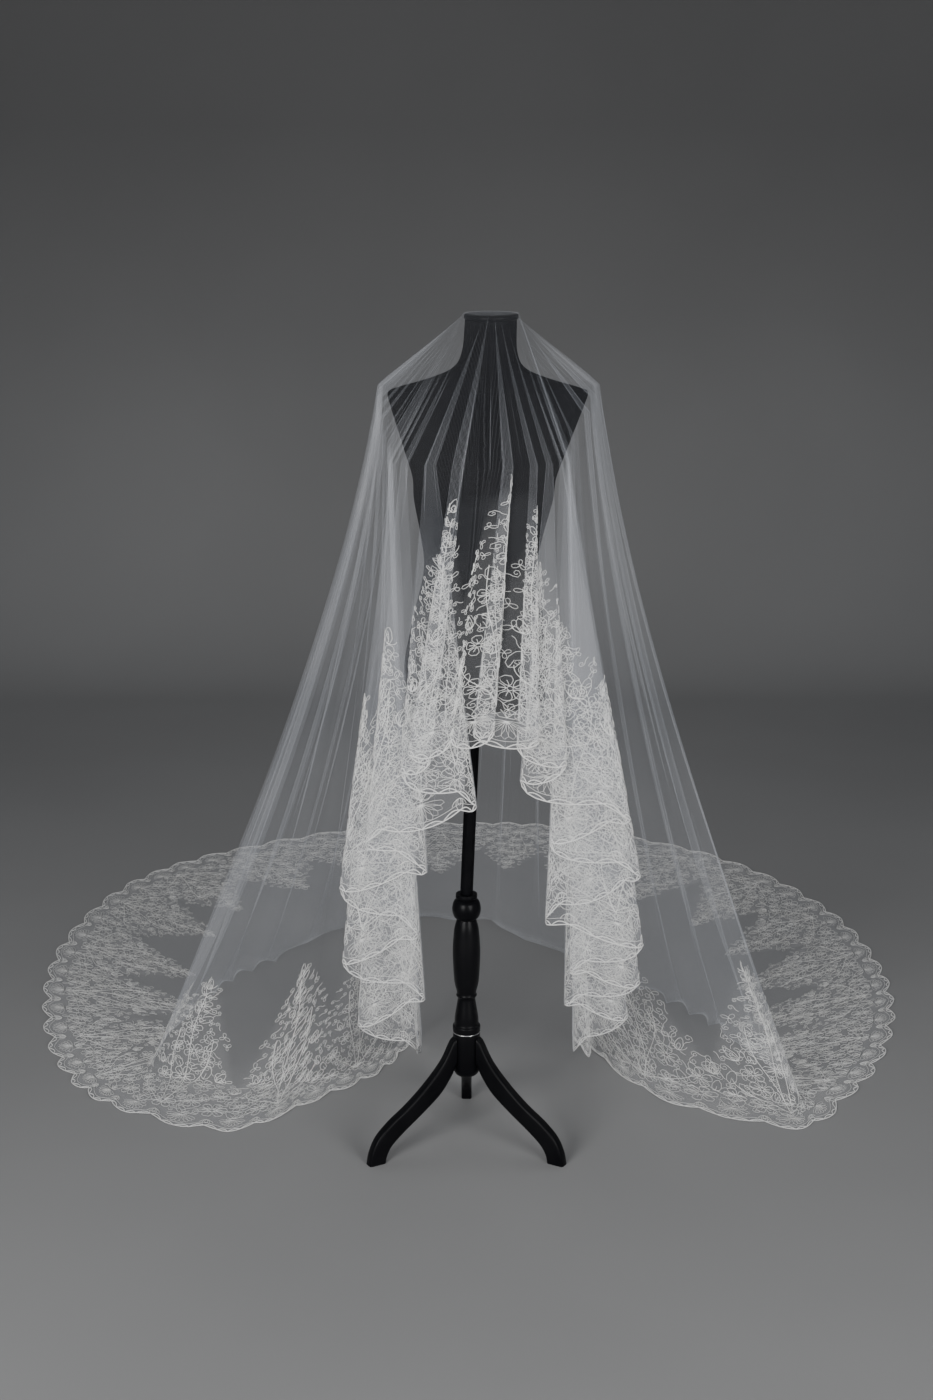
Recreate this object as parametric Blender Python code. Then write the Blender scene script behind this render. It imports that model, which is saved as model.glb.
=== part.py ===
"""Bridal veil on a dress form stand.

One round sheet of tulle with a lace border lies over the neck cap of a dress form.
It falls as a short front veil, two stepped cascades of folds, a tent and a floor train.
All sizes are metres, +Z is up and the front faces -Y.
"""
import math
from collections import namedtuple

import bmesh
import bpy
import numpy as np

# Driving sizes. The post of the stand is x = 0, y = 0 until the last step centres it all.
SEAM = 0.0003                # air between neighbouring pieces
TULLE_WALL = 0.001
LACE_WALL = 0.001
CAP_TOP = 1.600              # top of the neck cap
CAP_RADIUS = 0.049
CAP_THICK = 0.010
TORSO_FOOT = 0.894           # underside of the torso
POST_TOP = 0.512             # top of the turned post, where the pole comes out
LEAN = math.radians(2.3)     # the pole and the form lean a little to the right
POLE_RADIUS = 0.012
SCALLOP_DEPTH = 0.020        # the hem's points stand this far out of its hollows
BAND = (0.42, 0.31, 0.20, 0.10)   # lace peaks, shoulders, hollows and middle, from the hem
DRAPE_TOP = CAP_TOP + SEAM + TULLE_WALL / 2
FLOOR_LEVEL = TULLE_WALL / 2      # middle of the tulle where it lies on the floor
FRONT_HOLD_Z = 1.36          # the front folds leave the chest here
FRONT_FIRST_Y = -0.214       # outermost front fold at that height
KNEE_Z = 0.885               # below the torso the deeper folds swing back
KNEE_SPREAD = 1.12           # the folds lie this much further apart there
LAST_DEPTH = -0.122          # hindmost of them, just in front of the torso
NECK_ROWS = (0.3, 0.66)      # rows of the grid between the cap's rim and the chest
FRONT_LEVELS = (1.290, 1.190, 1.050)     # rows of the front, between chest and knee
FAN_TURN = 0.33              # turn on the cap over which the front spreads on the chest
TENT_BEND = 1.30             # the tent leaves the form steeply and flares lower down
TENT_FOLD = 3                # scallops to one fold of the tent
TENT_FOLD_DEPTH = 0.022
SAMPLES = 90                 # points worked out along each run of cloth

# Folds of the front, from the middle outwards. Columns: scallops since the row before,
# hem corner x, y and z, and how far behind the last fold it lies on the chest.
FrontFold = namedtuple("FrontFold", "scallops x y z step")
MIDDLE_FOLD = FrontFold(0, -0.030, -0.214, 0.856, 0)
RIGHT_FOLDS = (
    FrontFold(1.0, 0.046, -0.204, 0.868, 0.0040),
    FrontFold(1.0, 0.008, -0.197, 0.870, 0.0075),
    FrontFold(1.0, 0.127, -0.190, 0.846, 0.0075),
    FrontFold(1.0, 0.086, -0.183, 0.842, 0.0070),
    FrontFold(1.0, 0.179, -0.175, 0.800, 0.0065),
    FrontFold(1.0, 0.094, -0.166, 0.768, 0.0065),
    FrontFold(1.5, 0.298, -0.150, 0.700, 0.0060),
    FrontFold(1.5, 0.150, -0.128, 0.640, 0.0050),
    FrontFold(1.5, 0.322, -0.104, 0.575, 0.0050),
    FrontFold(2.0, 0.146, -0.076, 0.479, 0.0045),
    FrontFold(1.5, 0.335, -0.046, 0.405, 0.0040),
    FrontFold(1.5, 0.195, -0.016, 0.350, 0.0035),
    FrontFold(1.5, 0.335, 0.014, 0.305, 0.0035),
    FrontFold(1.5, 0.190, 0.046, 0.258, 0.0035),
    FrontFold(1.5, 0.318, 0.090, 0.205, 0.0035),
    FrontFold(1.5, 0.215, 0.170, 0.110, 0.0060),
)
LEFT_FOLDS = (
    FrontFold(1.0, -0.105, -0.195, 0.830, 0.0050),
    FrontFold(1.0, -0.064, -0.187, 0.815, 0.0080),
    FrontFold(1.0, -0.118, -0.179, 0.790, 0.0075),
    FrontFold(1.5, 0.020, -0.170, 0.731, 0.0065),
    FrontFold(2.0, -0.183, -0.153, 0.655, 0.0060),
    FrontFold(1.0, -0.071, -0.130, 0.595, 0.0055),
    FrontFold(1.5, -0.236, -0.104, 0.541, 0.0055),
    FrontFold(1.5, -0.090, -0.074, 0.450, 0.0050),
    FrontFold(1.5, -0.236, -0.042, 0.370, 0.0050),
    FrontFold(1.5, -0.079, -0.008, 0.295, 0.0045),
    FrontFold(1.5, -0.212, 0.045, 0.205, 0.0045),
    FrontFold(1.5, -0.090, 0.130, 0.125, 0.0060),
)

# Runs of the tent, from the inner corner of each front opening to the middle of the back.
# Columns: scallops since the row before, where the cloth leaves the form (x, y, z),
# where it meets the floor (x, y) and where its hem lies (x, y).
TentRun = namedtuple("TentRun", "scallops hold_x hold_y hold_z base_x base_y hem_x hem_y")
RIGHT_TENT = (
    TentRun(3, 0.178, -0.112, 1.385, 0.264, 0.430, 0.264, 0.430),
    TentRun(1, 0.192, -0.100, 1.405, 0.330, 0.370, 0.325, 0.285),
    TentRun(1, 0.206, -0.084, 1.425, 0.420, 0.270, 0.410, 0.160),
    TentRun(1, 0.219, -0.058, 1.448, 0.550, 0.200, 0.530, 0.085),
    TentRun(1, 0.229, -0.026, 1.470, 0.654, 0.160, 0.650, 0.040),
    TentRun(2, 0.232, 0.008, 1.473, 0.665, 0.250, 0.800, 0.210),
    TentRun(3, 0.229, 0.038, 1.470, 0.600, 0.420, 0.930, 0.500),
    TentRun(4, 0.217, 0.068, 1.462, 0.500, 0.600, 0.978, 0.900),
    TentRun(4, 0.195, 0.095, 1.450, 0.370, 0.780, 0.900, 1.320),
    TentRun(4, 0.160, 0.116, 1.440, 0.235, 0.950, 0.660, 1.700),
    TentRun(3, 0.110, 0.128, 1.430, 0.120, 1.090, 0.360, 1.900),
)
BACK_RUN = TentRun(4, 0.041, 0.132, 1.425, 0.000, 1.190, 0.030, 1.970)
LEFT_TENT = (
    TentRun(4, -0.134, -0.100, 1.385, -0.104, 0.490, -0.104, 0.490),
    TentRun(3, -0.146, -0.094, 1.400, -0.210, 0.370, -0.190, 0.290),
    TentRun(2, -0.151, -0.076, 1.425, -0.315, 0.270, -0.310, 0.165),
    TentRun(2, -0.154, -0.052, 1.450, -0.450, 0.250, -0.470, 0.030),
    TentRun(2, -0.152, -0.024, 1.470, -0.630, 0.290, -0.690, 0.120),
    TentRun(3, -0.155, 0.010, 1.473, -0.660, 0.430, -0.860, 0.330),
    TentRun(3, -0.152, 0.040, 1.470, -0.620, 0.600, -0.955, 0.650),
    TentRun(3, -0.140, 0.070, 1.462, -0.550, 0.780, -0.985, 1.000),
    TentRun(4, -0.117, 0.096, 1.450, -0.430, 0.950, -0.880, 1.470),
    TentRun(4, -0.080, 0.116, 1.440, -0.280, 1.120, -0.620, 1.750),
    TentRun(3, -0.020, 0.128, 1.430, -0.130, 1.200, -0.300, 1.920),
)

# Sections of the torso. Columns: height, half width, half depth, middle y, squareness.
TorsoRing = namedtuple("TorsoRing", "z wide deep y square")
TORSO_RINGS = (
    TorsoRing(TORSO_FOOT, 0.126, 0.100, 0.004, 2.2),
    TorsoRing(0.905, 0.130, 0.104, 0.004, 2.2),
    TorsoRing(0.970, 0.132, 0.106, 0.006, 2.2),
    TorsoRing(1.060, 0.117, 0.092, 0.004, 2.2),
    TorsoRing(1.140, 0.103, 0.080, 0.000, 2.1),
    TorsoRing(1.200, 0.110, 0.088, -0.006, 2.2),
    TorsoRing(1.270, 0.125, 0.106, -0.012, 2.4),
    TorsoRing(1.310, 0.129, 0.104, -0.008, 2.5),
    TorsoRing(1.350, 0.143, 0.094, 0.004, 2.6),
    TorsoRing(1.400, 0.161, 0.084, 0.014, 2.7),
    TorsoRing(1.440, 0.175, 0.068, 0.016, 2.7),
    TorsoRing(1.460, 0.179, 0.054, 0.012, 2.6),
    TorsoRing(1.468, 0.165, 0.048, 0.008, 2.4),
    TorsoRing(1.486, 0.105, 0.044, 0.004, 2.2),
    TorsoRing(1.505, 0.064, 0.045, 0.002, 2.0),
    TorsoRing(1.535, 0.049, 0.046, 0.000, 2.0),
    TorsoRing(CAP_TOP - CAP_THICK - SEAM, 0.046, 0.046, 0.000, 2.0),
)
TORSO_SIDES = 24

# Turned profiles, bottom to top. Columns: radius, height.
Turn = namedtuple("Turn", "r z")
HUB_PROFILE = (
    Turn(0.012, 0.139), Turn(0.020, 0.142), Turn(0.025, 0.150), Turn(0.026, 0.162),
    Turn(0.026, 0.222), Turn(0.0245, 0.2297),
)
POST_PROFILE = (
    Turn(0.0255, 0.230), Turn(0.0265, 0.236), Turn(0.0265, 0.243), Turn(0.0235, 0.247),
    Turn(0.0225, 0.262), Turn(0.0180, 0.290), Turn(0.0170, 0.300), Turn(0.0200, 0.306),
    Turn(0.0185, 0.312), Turn(0.0235, 0.335), Turn(0.0260, 0.375), Turn(0.0262, 0.405),
    Turn(0.0235, 0.440), Turn(0.0190, 0.458), Turn(0.0180, 0.462), Turn(0.0235, 0.466),
    Turn(0.0268, 0.476), Turn(0.0270, 0.486), Turn(0.0238, 0.497), Turn(0.0180, 0.502),
    Turn(0.0205, 0.505), Turn(0.0200, POST_TOP),
)

# Leg outline in its own upright plane. Columns: distance from the post, height.
LegPoint = namedtuple("LegPoint", "out z")
LEG_TOP_EDGE = (
    LegPoint(0.0263, 0.222), LegPoint(0.034, 0.214), LegPoint(0.056, 0.176),
    LegPoint(0.094, 0.136), LegPoint(0.132, 0.104), LegPoint(0.170, 0.078),
    LegPoint(0.198, 0.052), LegPoint(0.212, 0.024), LegPoint(0.217, 0.000),
)
LEG_LOW_EDGE = (
    LegPoint(0.182, 0.000), LegPoint(0.179, 0.014), LegPoint(0.168, 0.032),
    LegPoint(0.142, 0.054), LegPoint(0.100, 0.084), LegPoint(0.062, 0.114),
    LegPoint(0.040, 0.142), LegPoint(0.030, 0.160), LegPoint(0.0263, 0.168),
)
LEG_THICK = 0.021
LEG_TURNS = {"leg_front_left": 210, "leg_front_right": 330, "leg_back": 90}

ROUND_SIDES = 20


def lean_x(z):
    """Sideways shift of the leaning pole and form at height z."""
    return math.tan(LEAN) * (z - POST_TOP)


# One run of cloth from the cap to its hem: its place along the hem, where it leaves the
# form, where it meets the floor, its hem corner, how its fall bends, whether it is part of
# the tent (wave), its share of the tent's fluting and of its row heights, and its depth.
Run = namedtuple("Run", "place hold foot hem bend_x bend_y wave flute level depth")


def fan_x(turn):
    """Sideways place on the chest of the cloth that leaves the cap at an angle."""
    middle = lean_x(FRONT_HOLD_Z)
    right, left = RIGHT_TENT[0].hold_x - middle, LEFT_TENT[0].hold_x - middle
    return middle + (right if turn > 0 else -left) * math.tanh(turn / FAN_TURN)


def front_rows():
    """Hanging folds from left to right: place in scallops, depth on the chest, hem corner.

    Each fold that runs back to the left hardly overlaps on the chest and opens lower down.
    """
    rows = [(0.0, FRONT_FIRST_Y, MIDDLE_FOLD)]
    for folds, way in ((RIGHT_FOLDS, 1), (LEFT_FOLDS, -1)):
        place, depth = 0.0, FRONT_FIRST_Y
        for fold in folds:
            place += fold.scallops
            depth += fold.step
            rows.append((place * way, depth, fold))
    rows.sort(key=lambda row: row[0])
    return rows


def front_runs(whole):
    """Runs of the hanging folds by their place, with the corner each one has on the chest."""
    rows = front_rows()
    fan = [fan_x(2 * math.pi * place / whole) for place, _, _ in rows]
    for n in range(len(rows) - 1):
        if rows[n + 1][2].x < rows[n][2].x:
            over = 0.53 * (fan[n + 1] - fan[n])
            fan[n], fan[n + 1] = fan[n] + over, fan[n + 1] - over
    runs = []
    for (place, depth, fold), hold_x in zip(rows, fan):
        knee = float(knee_depth(depth))
        share = min(max((KNEE_Z - fold.z) / 0.2, 0.0), 1.0)
        hem = (fold.x, knee + (fold.y - knee) * share, fold.z)
        hold = (hold_x, depth, FRONT_HOLD_Z)
        runs.append(Run(place, hold, hem, hem, 1.0, 3.0, 0.0, 0.0, 0.0, depth))
    return runs


def tent_runs():
    """Runs of the cloth that reaches the floor, with their places counted from the middle."""
    flutes = (0.0, 0.0, 0.3, 0.7)
    levels = (0.0, 0.3, 0.7, 1.0)
    right = sum(fold.scallops for fold in RIGHT_FOLDS)
    left = sum(fold.scallops for fold in LEFT_FOLDS)
    back = right + sum(row.scallops for row in (*RIGHT_TENT, BACK_RUN))
    whole = back + TENT_FOLD + sum(row.scallops for row in LEFT_TENT) + left
    places = list(np.cumsum([right] + [row.scallops for row in (*RIGHT_TENT, BACK_RUN)])[1:])
    rows = [*RIGHT_TENT, BACK_RUN, *reversed(LEFT_TENT)]
    flute = [*flutes, *[1.0] * (len(rows) - 8), *reversed(flutes)]
    level = [*levels, *[1.0] * (len(rows) - 8), *reversed(levels)]
    places += list(whole - left - np.cumsum([row.scallops for row in LEFT_TENT])[::-1])
    runs = []
    for place, row, part, share in zip(places, rows, flute, level):
        foot = (row.base_x, row.base_y, FLOOR_LEVEL)
        hem = (row.hem_x, row.hem_y, FLOOR_LEVEL)
        hold = (row.hold_x, row.hold_y, row.hold_z)
        bends = (TENT_BEND, TENT_BEND)
        runs.append(Run(float(place), hold, foot, hem, *bends, 1.0, part, share, row.hold_y))
    return runs, float(whole)


def all_runs():
    """Every run once around the sheet, from the front middle to the right and back again."""
    tent, whole = tent_runs()
    front = front_runs(whole)
    right = [run for run in front if run.place >= 0]
    left = [run._replace(place=run.place + whole) for run in front if run.place <= 0]
    return right + tent + left


def step_blend(f):
    """Eases along a hanging fold: x turns roundly at its ends, depth changes near them."""
    return (1 - np.cos(np.pi * f)) / 2, 0.5 + 0.5 * (2 * f - 1) ** 3


def smooth_rows(places, values, at):
    """Curve through the rows (cubic pieces with the slope of the neighbouring rows)."""
    slope = np.gradient(values, places, axis=0)
    index = np.clip(np.searchsorted(places, at, side="right") - 1, 0, len(places) - 2)
    gap = (places[index + 1] - places[index])[:, None]
    f = ((at - places[index])[:, None]) / gap
    low, high = values[index], values[index + 1]
    bend_low, bend_high = slope[index] * gap, slope[index + 1] * gap
    return (
        (2 * f**3 - 3 * f**2 + 1) * low + (f**3 - 2 * f**2 + f) * bend_low
        + (3 * f**2 - 2 * f**3) * high + (f**3 - f**2) * bend_high
    )


def run_values(at):
    """Hold, foot, hem and bends at places along the hem, counted in scallops."""
    table = all_runs()
    places = np.array([run.place for run in table])
    rows = np.array([
        (*run.hold, *run.foot, *run.hem, run.bend_x, run.bend_y, run.wave, run.flute,
         run.level, run.depth)
        for run in table
    ])
    on_floor = rows[:, 11] > 0.5
    tent = smooth_rows(places[on_floor], rows[on_floor], at)
    index = np.clip(np.searchsorted(places, at, side="right") - 1, 0, len(places) - 2)
    f = ((at - places[index]) / (places[index + 1] - places[index]))[:, None]
    turn, depth = step_blend(f)
    low, high = rows[index], rows[index + 1]
    front = low + (high - low) * f
    for column in (0, 3, 6):
        front[:, column:column + 1] = low[:, column:column + 1] + (
            high[:, column:column + 1] - low[:, column:column + 1]) * turn
    for column in (4, 7, 14):
        front[:, column:column + 1] = low[:, column:column + 1] + (
            high[:, column:column + 1] - low[:, column:column + 1]) * depth
    inside = (on_floor[index] & on_floor[index + 1])[:, None]
    return np.where(inside, tent, front)


def fall_path(values, rim_angle, at):
    """Points of each run of cloth, from the cap's rim to its hem (runs x samples x 3)."""
    hold, foot, hem = values[:, 0:3], values[:, 3:6], values[:, 6:9]
    bend_x, bend_y, wave = values[:, 9:10], values[:, 10:11], values[:, 11:12]
    rim = np.stack([
        lean_x(CAP_TOP) + CAP_RADIUS * np.sin(rim_angle),
        -CAP_RADIUS * np.cos(rim_angle),
        np.full(len(rim_angle), DRAPE_TOP),
    ], axis=1)
    t = np.linspace(0, 1, SAMPLES)
    fan = hold.copy()
    turns = (rim_angle + np.pi) % (2 * np.pi) - np.pi
    fan[:, 0] = [fan_x(turn) for turn in turns]
    fan = fan * (1 - wave) + hold * wave
    neck = (rim[:, None] + (fan - rim)[:, None] * t[None, :, None]
            + (hold - fan)[:, None] * (t ** 3)[None, :, None])
    x = hold[:, :1] + (foot - hold)[:, :1] * t ** bend_x
    z = hold[:, 2:] + (foot - hold)[:, 2:] * t
    knee = knee_depth(values[:, 14:15])
    above = (hold[:, 2:] - z) / (hold[:, 2:] - KNEE_Z)
    below = (KNEE_Z - z) / (KNEE_Z - foot[:, 2:])
    hung = np.where(z > KNEE_Z, hold[:, 1:2] + (knee - hold[:, 1:2]) * above,
                    knee + (foot[:, 1:2] - knee) * below)
    drawn = hold[:, 1:2] + (foot - hold)[:, 1:2] * t ** bend_y
    y = hung * (1 - wave) + drawn * wave
    along_x, along_y = np.gradient(x, axis=0), np.gradient(y, axis=0)
    size = np.hypot(along_x, along_y) + 1e-9
    fade = (t ** 0.7 * (1 - t) ** 0.6 * 1.9)[None, :]
    room = 0.14 * TENT_FOLD * size / (at[1] - at[0])
    swing = np.cos(2 * np.pi * at / TENT_FOLD)[:, None]
    push = np.minimum(TENT_FOLD_DEPTH * fade, room) * values[:, 12:13] * swing
    fall = np.stack([x + along_y / size * push, y - along_x / size * push, z], axis=2)
    floor = foot[:, None] + (hem - foot)[:, None] * t[None, :, None]
    return np.concatenate([neck, fall[:, 1:], floor[:, 1:]], axis=1)


def knee_depth(depth):
    """Depth of a front fold at the torso's foot, from its depth on the chest."""
    return LAST_DEPTH + (depth - LAST_DEPTH) * KNEE_SPREAD


def path_lengths(path):
    """Distance along each run from its first point to each of its points."""
    step = np.linalg.norm(np.diff(path, axis=1), axis=2)
    return np.concatenate([np.zeros((len(path), 1)), np.cumsum(step, axis=1)], axis=1)


def rim_angles(at):
    """Angle on the cap for each place, shared out as the flat sheet would share it."""
    table = all_runs()
    fine = np.linspace(0, table[-1].place, 4 * int(table[-1].place) + 1)
    values = run_values(fine)
    even = np.linspace(0, 2 * np.pi, len(fine))
    path = fall_path(values, even, fine)
    length = path_lengths(path)[:, -1] + CAP_RADIUS
    hem = path[:, -1]
    along = np.linalg.norm(np.diff(hem, axis=0), axis=1)
    turn = np.sqrt(np.maximum(along**2 - np.diff(length) ** 2, (0.3 * along) ** 2))
    turn = turn / (length[1:] + length[:-1]) * 2
    turn = np.maximum(turn, 0.75 * turn.mean())
    total = np.concatenate([[0], np.cumsum(turn)])
    return np.interp(at, fine, total / total[-1] * 2 * np.pi)


def rows_of_column(path, lengths, short, level):
    """Grid rows of one run, and how far each lies from the hem.

    A front fold has its rows at shared heights down to the knee. A run of the tent has them
    at shared distances from the hem. Between the two the rows pass from one to the other.
    """
    whole = lengths[-1]
    hold = lengths[SAMPLES - 1]
    end = whole - short
    base = max(whole - lengths[2 * SAMPLES - 2], BAND[0] + 0.03)
    start = whole - base
    tent = [hold + (start - hold) / 3, hold + (start - hold) * 2 / 3, start]
    tent += [whole - distance for distance in BAND]
    fall, fallen = path[SAMPLES - 1:2 * SAMPLES - 1, 2], lengths[SAMPLES - 1:2 * SAMPLES - 1]
    knee_z = max(KNEE_Z, fall[-1] + 0.05)
    hung = [np.interp(-z, -fall, fallen) for z in (*FRONT_LEVELS, knee_z)]
    hung += [hung[3] + (end - hung[3]) * share for share in (0.25, 0.5, 0.75)]
    rows = np.array(hung) * (1 - level) + np.array(tent) * level
    neck = lengths[[int(round(share * (SAMPLES - 1))) for share in NECK_ROWS]]
    marks = np.concatenate([[0.0], neck, [hold], rows, [end]])
    points = np.stack([np.interp(marks, lengths, path[:, axis]) for axis in range(3)], axis=1)
    return points, whole - marks


ROW_CREASE, ROW_HEM = 6, 11  # grid rows where the tent meets the train, and of the hem
FLAME = (0.20, 0.31, 0.42, 0.31, 0.20)   # reach of the lace in each column, repeated


def drape_grid():
    """Middle surface of the whole sheet: columns around the hem, rows from rim to hem."""
    whole = all_runs()[-1].place
    count = int(round(whole * 2))
    at = np.arange(count) / 2.0
    values = run_values(at)
    path = fall_path(values, rim_angles(at), at)
    lengths = path_lengths(path)
    hem = values[:, 6:9]
    pitch = np.linalg.norm(np.roll(hem, -1, axis=0) - np.roll(hem, 1, axis=0), axis=1)
    hollow = SCALLOP_DEPTH * np.where(np.arange(count) % 2, 1 - np.minimum(pitch / 0.08, 1), 1)
    columns = [rows_of_column(path[j], lengths[j], hollow[j], values[j, 13])
               for j in range(count)]
    grid = np.array([points for points, _ in columns])
    reach = np.array([FLAME[j % len(FLAME)] for j in range(count)])
    from_hem = np.array([distance for _, distance in columns])
    flame = 4 + np.abs(from_hem[:, 4:] - reach[:, None]).argmin(axis=1)
    return grid, flame


def drape_faces(flame):
    """Triangles of the grid; their diagonals run along the lace's inner edge."""
    faces = []
    count = len(flame)
    for j in range(count):
        k = (j + 1) % count
        here, there = flame[j], flame[k]
        for i in range(ROW_HEM):
            a, b, c, d = (j, i), (k, i), (k, i + 1), (j, i + 1)
            rising = here > there if i == max(here, there) - 1 else (i + j) % 2 == 0
            faces += [(a, d, b), (b, d, c)] if rising else [(a, d, c), (a, c, b)]
    return faces


def unit(vectors):
    """Vectors of length one."""
    return vectors / (np.linalg.norm(vectors, axis=-1, keepdims=True) + 1e-12)


def grid_normals(grid):
    """Outward normals, square to each run of cloth and to the mean way across it.

    They are lengthened at a fold, so that a layer keeps its distance on both sides of it.
    """
    down = unit(np.diff(grid, axis=1))
    down = np.concatenate([down[:, :1], down[:, 1:] + down[:, :-1], down[:, -1:]], axis=1)
    down = unit(down)

    def across(vectors):
        return unit(vectors - down * (vectors * down).sum(axis=-1, keepdims=True))

    around = across(np.roll(grid, -1, axis=0) - grid) + across(grid - np.roll(grid, 1, axis=0))
    longer = 2 / (np.linalg.norm(around, axis=-1, keepdims=True) + 1e-9)
    return unit(np.cross(down, around)) * np.clip(longer, 1.0, 1.35)


def clear_floor(points, lift):
    """Keeps a layer of cloth at or above its own height over the floor."""
    points[:, 2] = np.maximum(points[:, 2], lift)
    return points


def shell(name, grid, normals, faces, low, high, material):
    """Closed sheet of cloth between two distances from the middle surface."""
    used = sorted({corner for face in faces for corner in face})
    number = {corner: n for n, corner in enumerate(used)}
    middle = pull_edges(grid, used, faces)
    normal = np.array([normals[c] for c in used])
    inner = clear_floor(middle + normal * low, max(0.0, low + TULLE_WALL / 2))
    outer = clear_floor(middle + normal * high, high + TULLE_WALL / 2)
    count = len(used)
    polygons = [tuple(number[c] + count for c in face) for face in faces]
    polygons += [tuple(number[c] for c in reversed(face)) for face in faces]
    edges = {}
    for face in faces:
        for n in range(3):
            edges[(face[n], face[(n + 1) % 3])] = True
    for a, b in edges:
        if (b, a) not in edges:
            p, q = number[a], number[b]
            if a < b:
                polygons += [(p, q, q + count), (p, q + count, p + count)]
            else:
                polygons += [(p, q, p + count), (q, q + count, p + count)]
    return add_mesh(name, np.concatenate([inner, outer]), polygons, material)


def pull_edges(grid, used, faces):
    """Moves the cut edges between two stretches back by half a seam, along the cloth."""
    points = {corner: grid[corner].copy() for corner in used}
    edges = {(face[n], face[(n + 1) % 3]): face for face in faces for n in range(3)}
    count = len(grid)
    pulled = set()
    for (a, b), face in edges.items():
        if (b, a) in edges:
            continue
        if a[1] == b[1] and a[1] != ROW_HEM and a[1] != 0:
            step = 1 if max(corner[1] for corner in face) > a[1] else -1
            moves = [(corner, (corner[0], corner[1] + step), "row") for corner in (a, b)]
        elif a[0] == b[0]:
            others = [corner[0] for corner in face if corner[0] != a[0]]
            step = 1 if (others[0] - a[0]) % count == 1 else -1
            moves = [(c, ((c[0] + step) % count, c[1]), "column") for c in (a, b)]
        else:
            continue
        for corner, neighbour, kind in moves:
            if (corner, kind) not in pulled:
                pulled.add((corner, kind))
                points[corner] += unit(grid[neighbour] - grid[corner]) * SEAM * 0.6
    return np.array([points[c] for c in used])


def add_mesh(name, points, polygons, material):
    """Closed mesh object with one material, faces turned outwards."""
    mesh = bpy.data.meshes.new(name)
    mesh.from_pydata([tuple(float(v) for v in p) for p in points], [], polygons)
    work = bmesh.new()
    work.from_mesh(mesh)
    bmesh.ops.recalc_face_normals(work, faces=work.faces)
    work.to_mesh(mesh)
    work.free()
    piece = bpy.data.objects.new(name, mesh)
    bpy.context.scene.collection.objects.link(piece)
    mesh.materials.append(material)
    return piece


def loft(name, rings, material):
    """Closed skin over a stack of rings with equal counts of points."""
    count = len(rings[0])
    points = [p for ring in rings for p in ring]
    polygons = []
    for level in range(len(rings) - 1):
        for n in range(count):
            m = (n + 1) % count
            low, high = level * count, (level + 1) * count
            polygons.append((low + n, low + m, high + m, high + n))
    top = (len(rings) - 1) * count
    polygons.append(tuple(range(count - 1, -1, -1)))
    polygons.append(tuple(top + n for n in range(count)))
    piece = add_mesh(name, points, polygons, material)
    piece.data.shade_smooth()
    piece.data.set_sharp_from_angle(angle=math.radians(40))
    return piece


def circle(radius, z, shift_x=0.0, sides=ROUND_SIDES):
    """Ring of points at one height."""
    turns = [2 * math.pi * n / sides for n in range(sides)]
    return [(shift_x + radius * math.cos(a), radius * math.sin(a), z) for a in turns]


def superellipse(ring):
    """Torso section: an ellipse with slightly squared shoulders."""
    points = []
    for n in range(TORSO_SIDES):
        a = 2 * math.pi * n / TORSO_SIDES
        c, s = math.cos(a), math.sin(a)
        x = ring.wide * math.copysign(abs(c) ** (2 / ring.square), c)
        y = ring.deep * math.copysign(abs(s) ** (2 / ring.square), s)
        points.append((lean_x(ring.z) + x, ring.y + y, ring.z))
    return points


def make_material(name, colour, roughness, metallic=0.0):
    """Principled surface with one colour."""
    material = bpy.data.materials.new(name)
    material.use_nodes = True
    shader = material.node_tree.nodes["Principled BSDF"]
    shader.inputs["Base Color"].default_value = (*colour, 1.0)
    shader.inputs["Roughness"].default_value = roughness
    shader.inputs["Metallic"].default_value = metallic
    return material


def make_form(jersey, cap_paint):
    """Limbless torso with its neck and the round neck cap the veil lies on."""
    loft("torso", [superellipse(ring) for ring in TORSO_RINGS], jersey)
    low = CAP_TOP - CAP_THICK
    profile = ((0.0440, low), (CAP_RADIUS - 0.001, low + 0.0015),
               (CAP_RADIUS - 0.001, CAP_TOP - 0.002), (CAP_RADIUS - 0.004, CAP_TOP))
    loft("neck_cap", [circle(r, z, lean_x(CAP_TOP)) for r, z in profile], cap_paint)


def make_stand(wood, steel):
    """Pole, turned post, hub and three curved legs."""
    heights = (POST_TOP + SEAM, TORSO_FOOT - SEAM)
    loft("pole", [circle(POLE_RADIUS, z, lean_x(z), 20) for z in heights], steel)
    loft("turned_post", [circle(t.r, t.z + SEAM) for t in POST_PROFILE[:-1]]
         + [circle(POST_PROFILE[-1].r, POST_TOP)], wood)
    loft("hub", [circle(t.r, t.z) for t in HUB_PROFILE], wood)
    for name, turn in LEG_TURNS.items():
        make_leg(name, math.radians(turn), wood)


def make_leg(name, turn, wood):
    """Curved leg sawn from a board; its upper and lower edges are bridged by faces."""
    out = np.array([math.cos(turn), math.sin(turn), 0.0])
    across = np.array([-math.sin(turn), math.cos(turn), 0.0]) * LEG_THICK / 2
    outline = list(LEG_TOP_EDGE) + list(LEG_LOW_EDGE)
    rings = []
    for side in (-1, 1):
        rings.append([tuple(out * (p.out + SEAM) + across * side + (0, 0, p.z)) for p in outline])
    count = len(outline)
    half = len(LEG_TOP_EDGE)
    points = rings[0] + rings[1]
    polygons = []
    for n in range(count):
        m = (n + 1) % count
        polygons.append((n, m, count + m, count + n))
    for start in (0, count):
        for n in range(half - 1):
            quad = (n, n + 1, count - 2 - n, count - 1 - n)
            polygons.append(tuple(start + q for q in quad))
    piece = add_mesh(name, points, polygons, wood)
    return piece


def lace_of(faces, flame):
    """Triangles inside the lace border."""
    return [f for f in faces if all(row >= flame[column] for column, row in f)]


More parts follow.
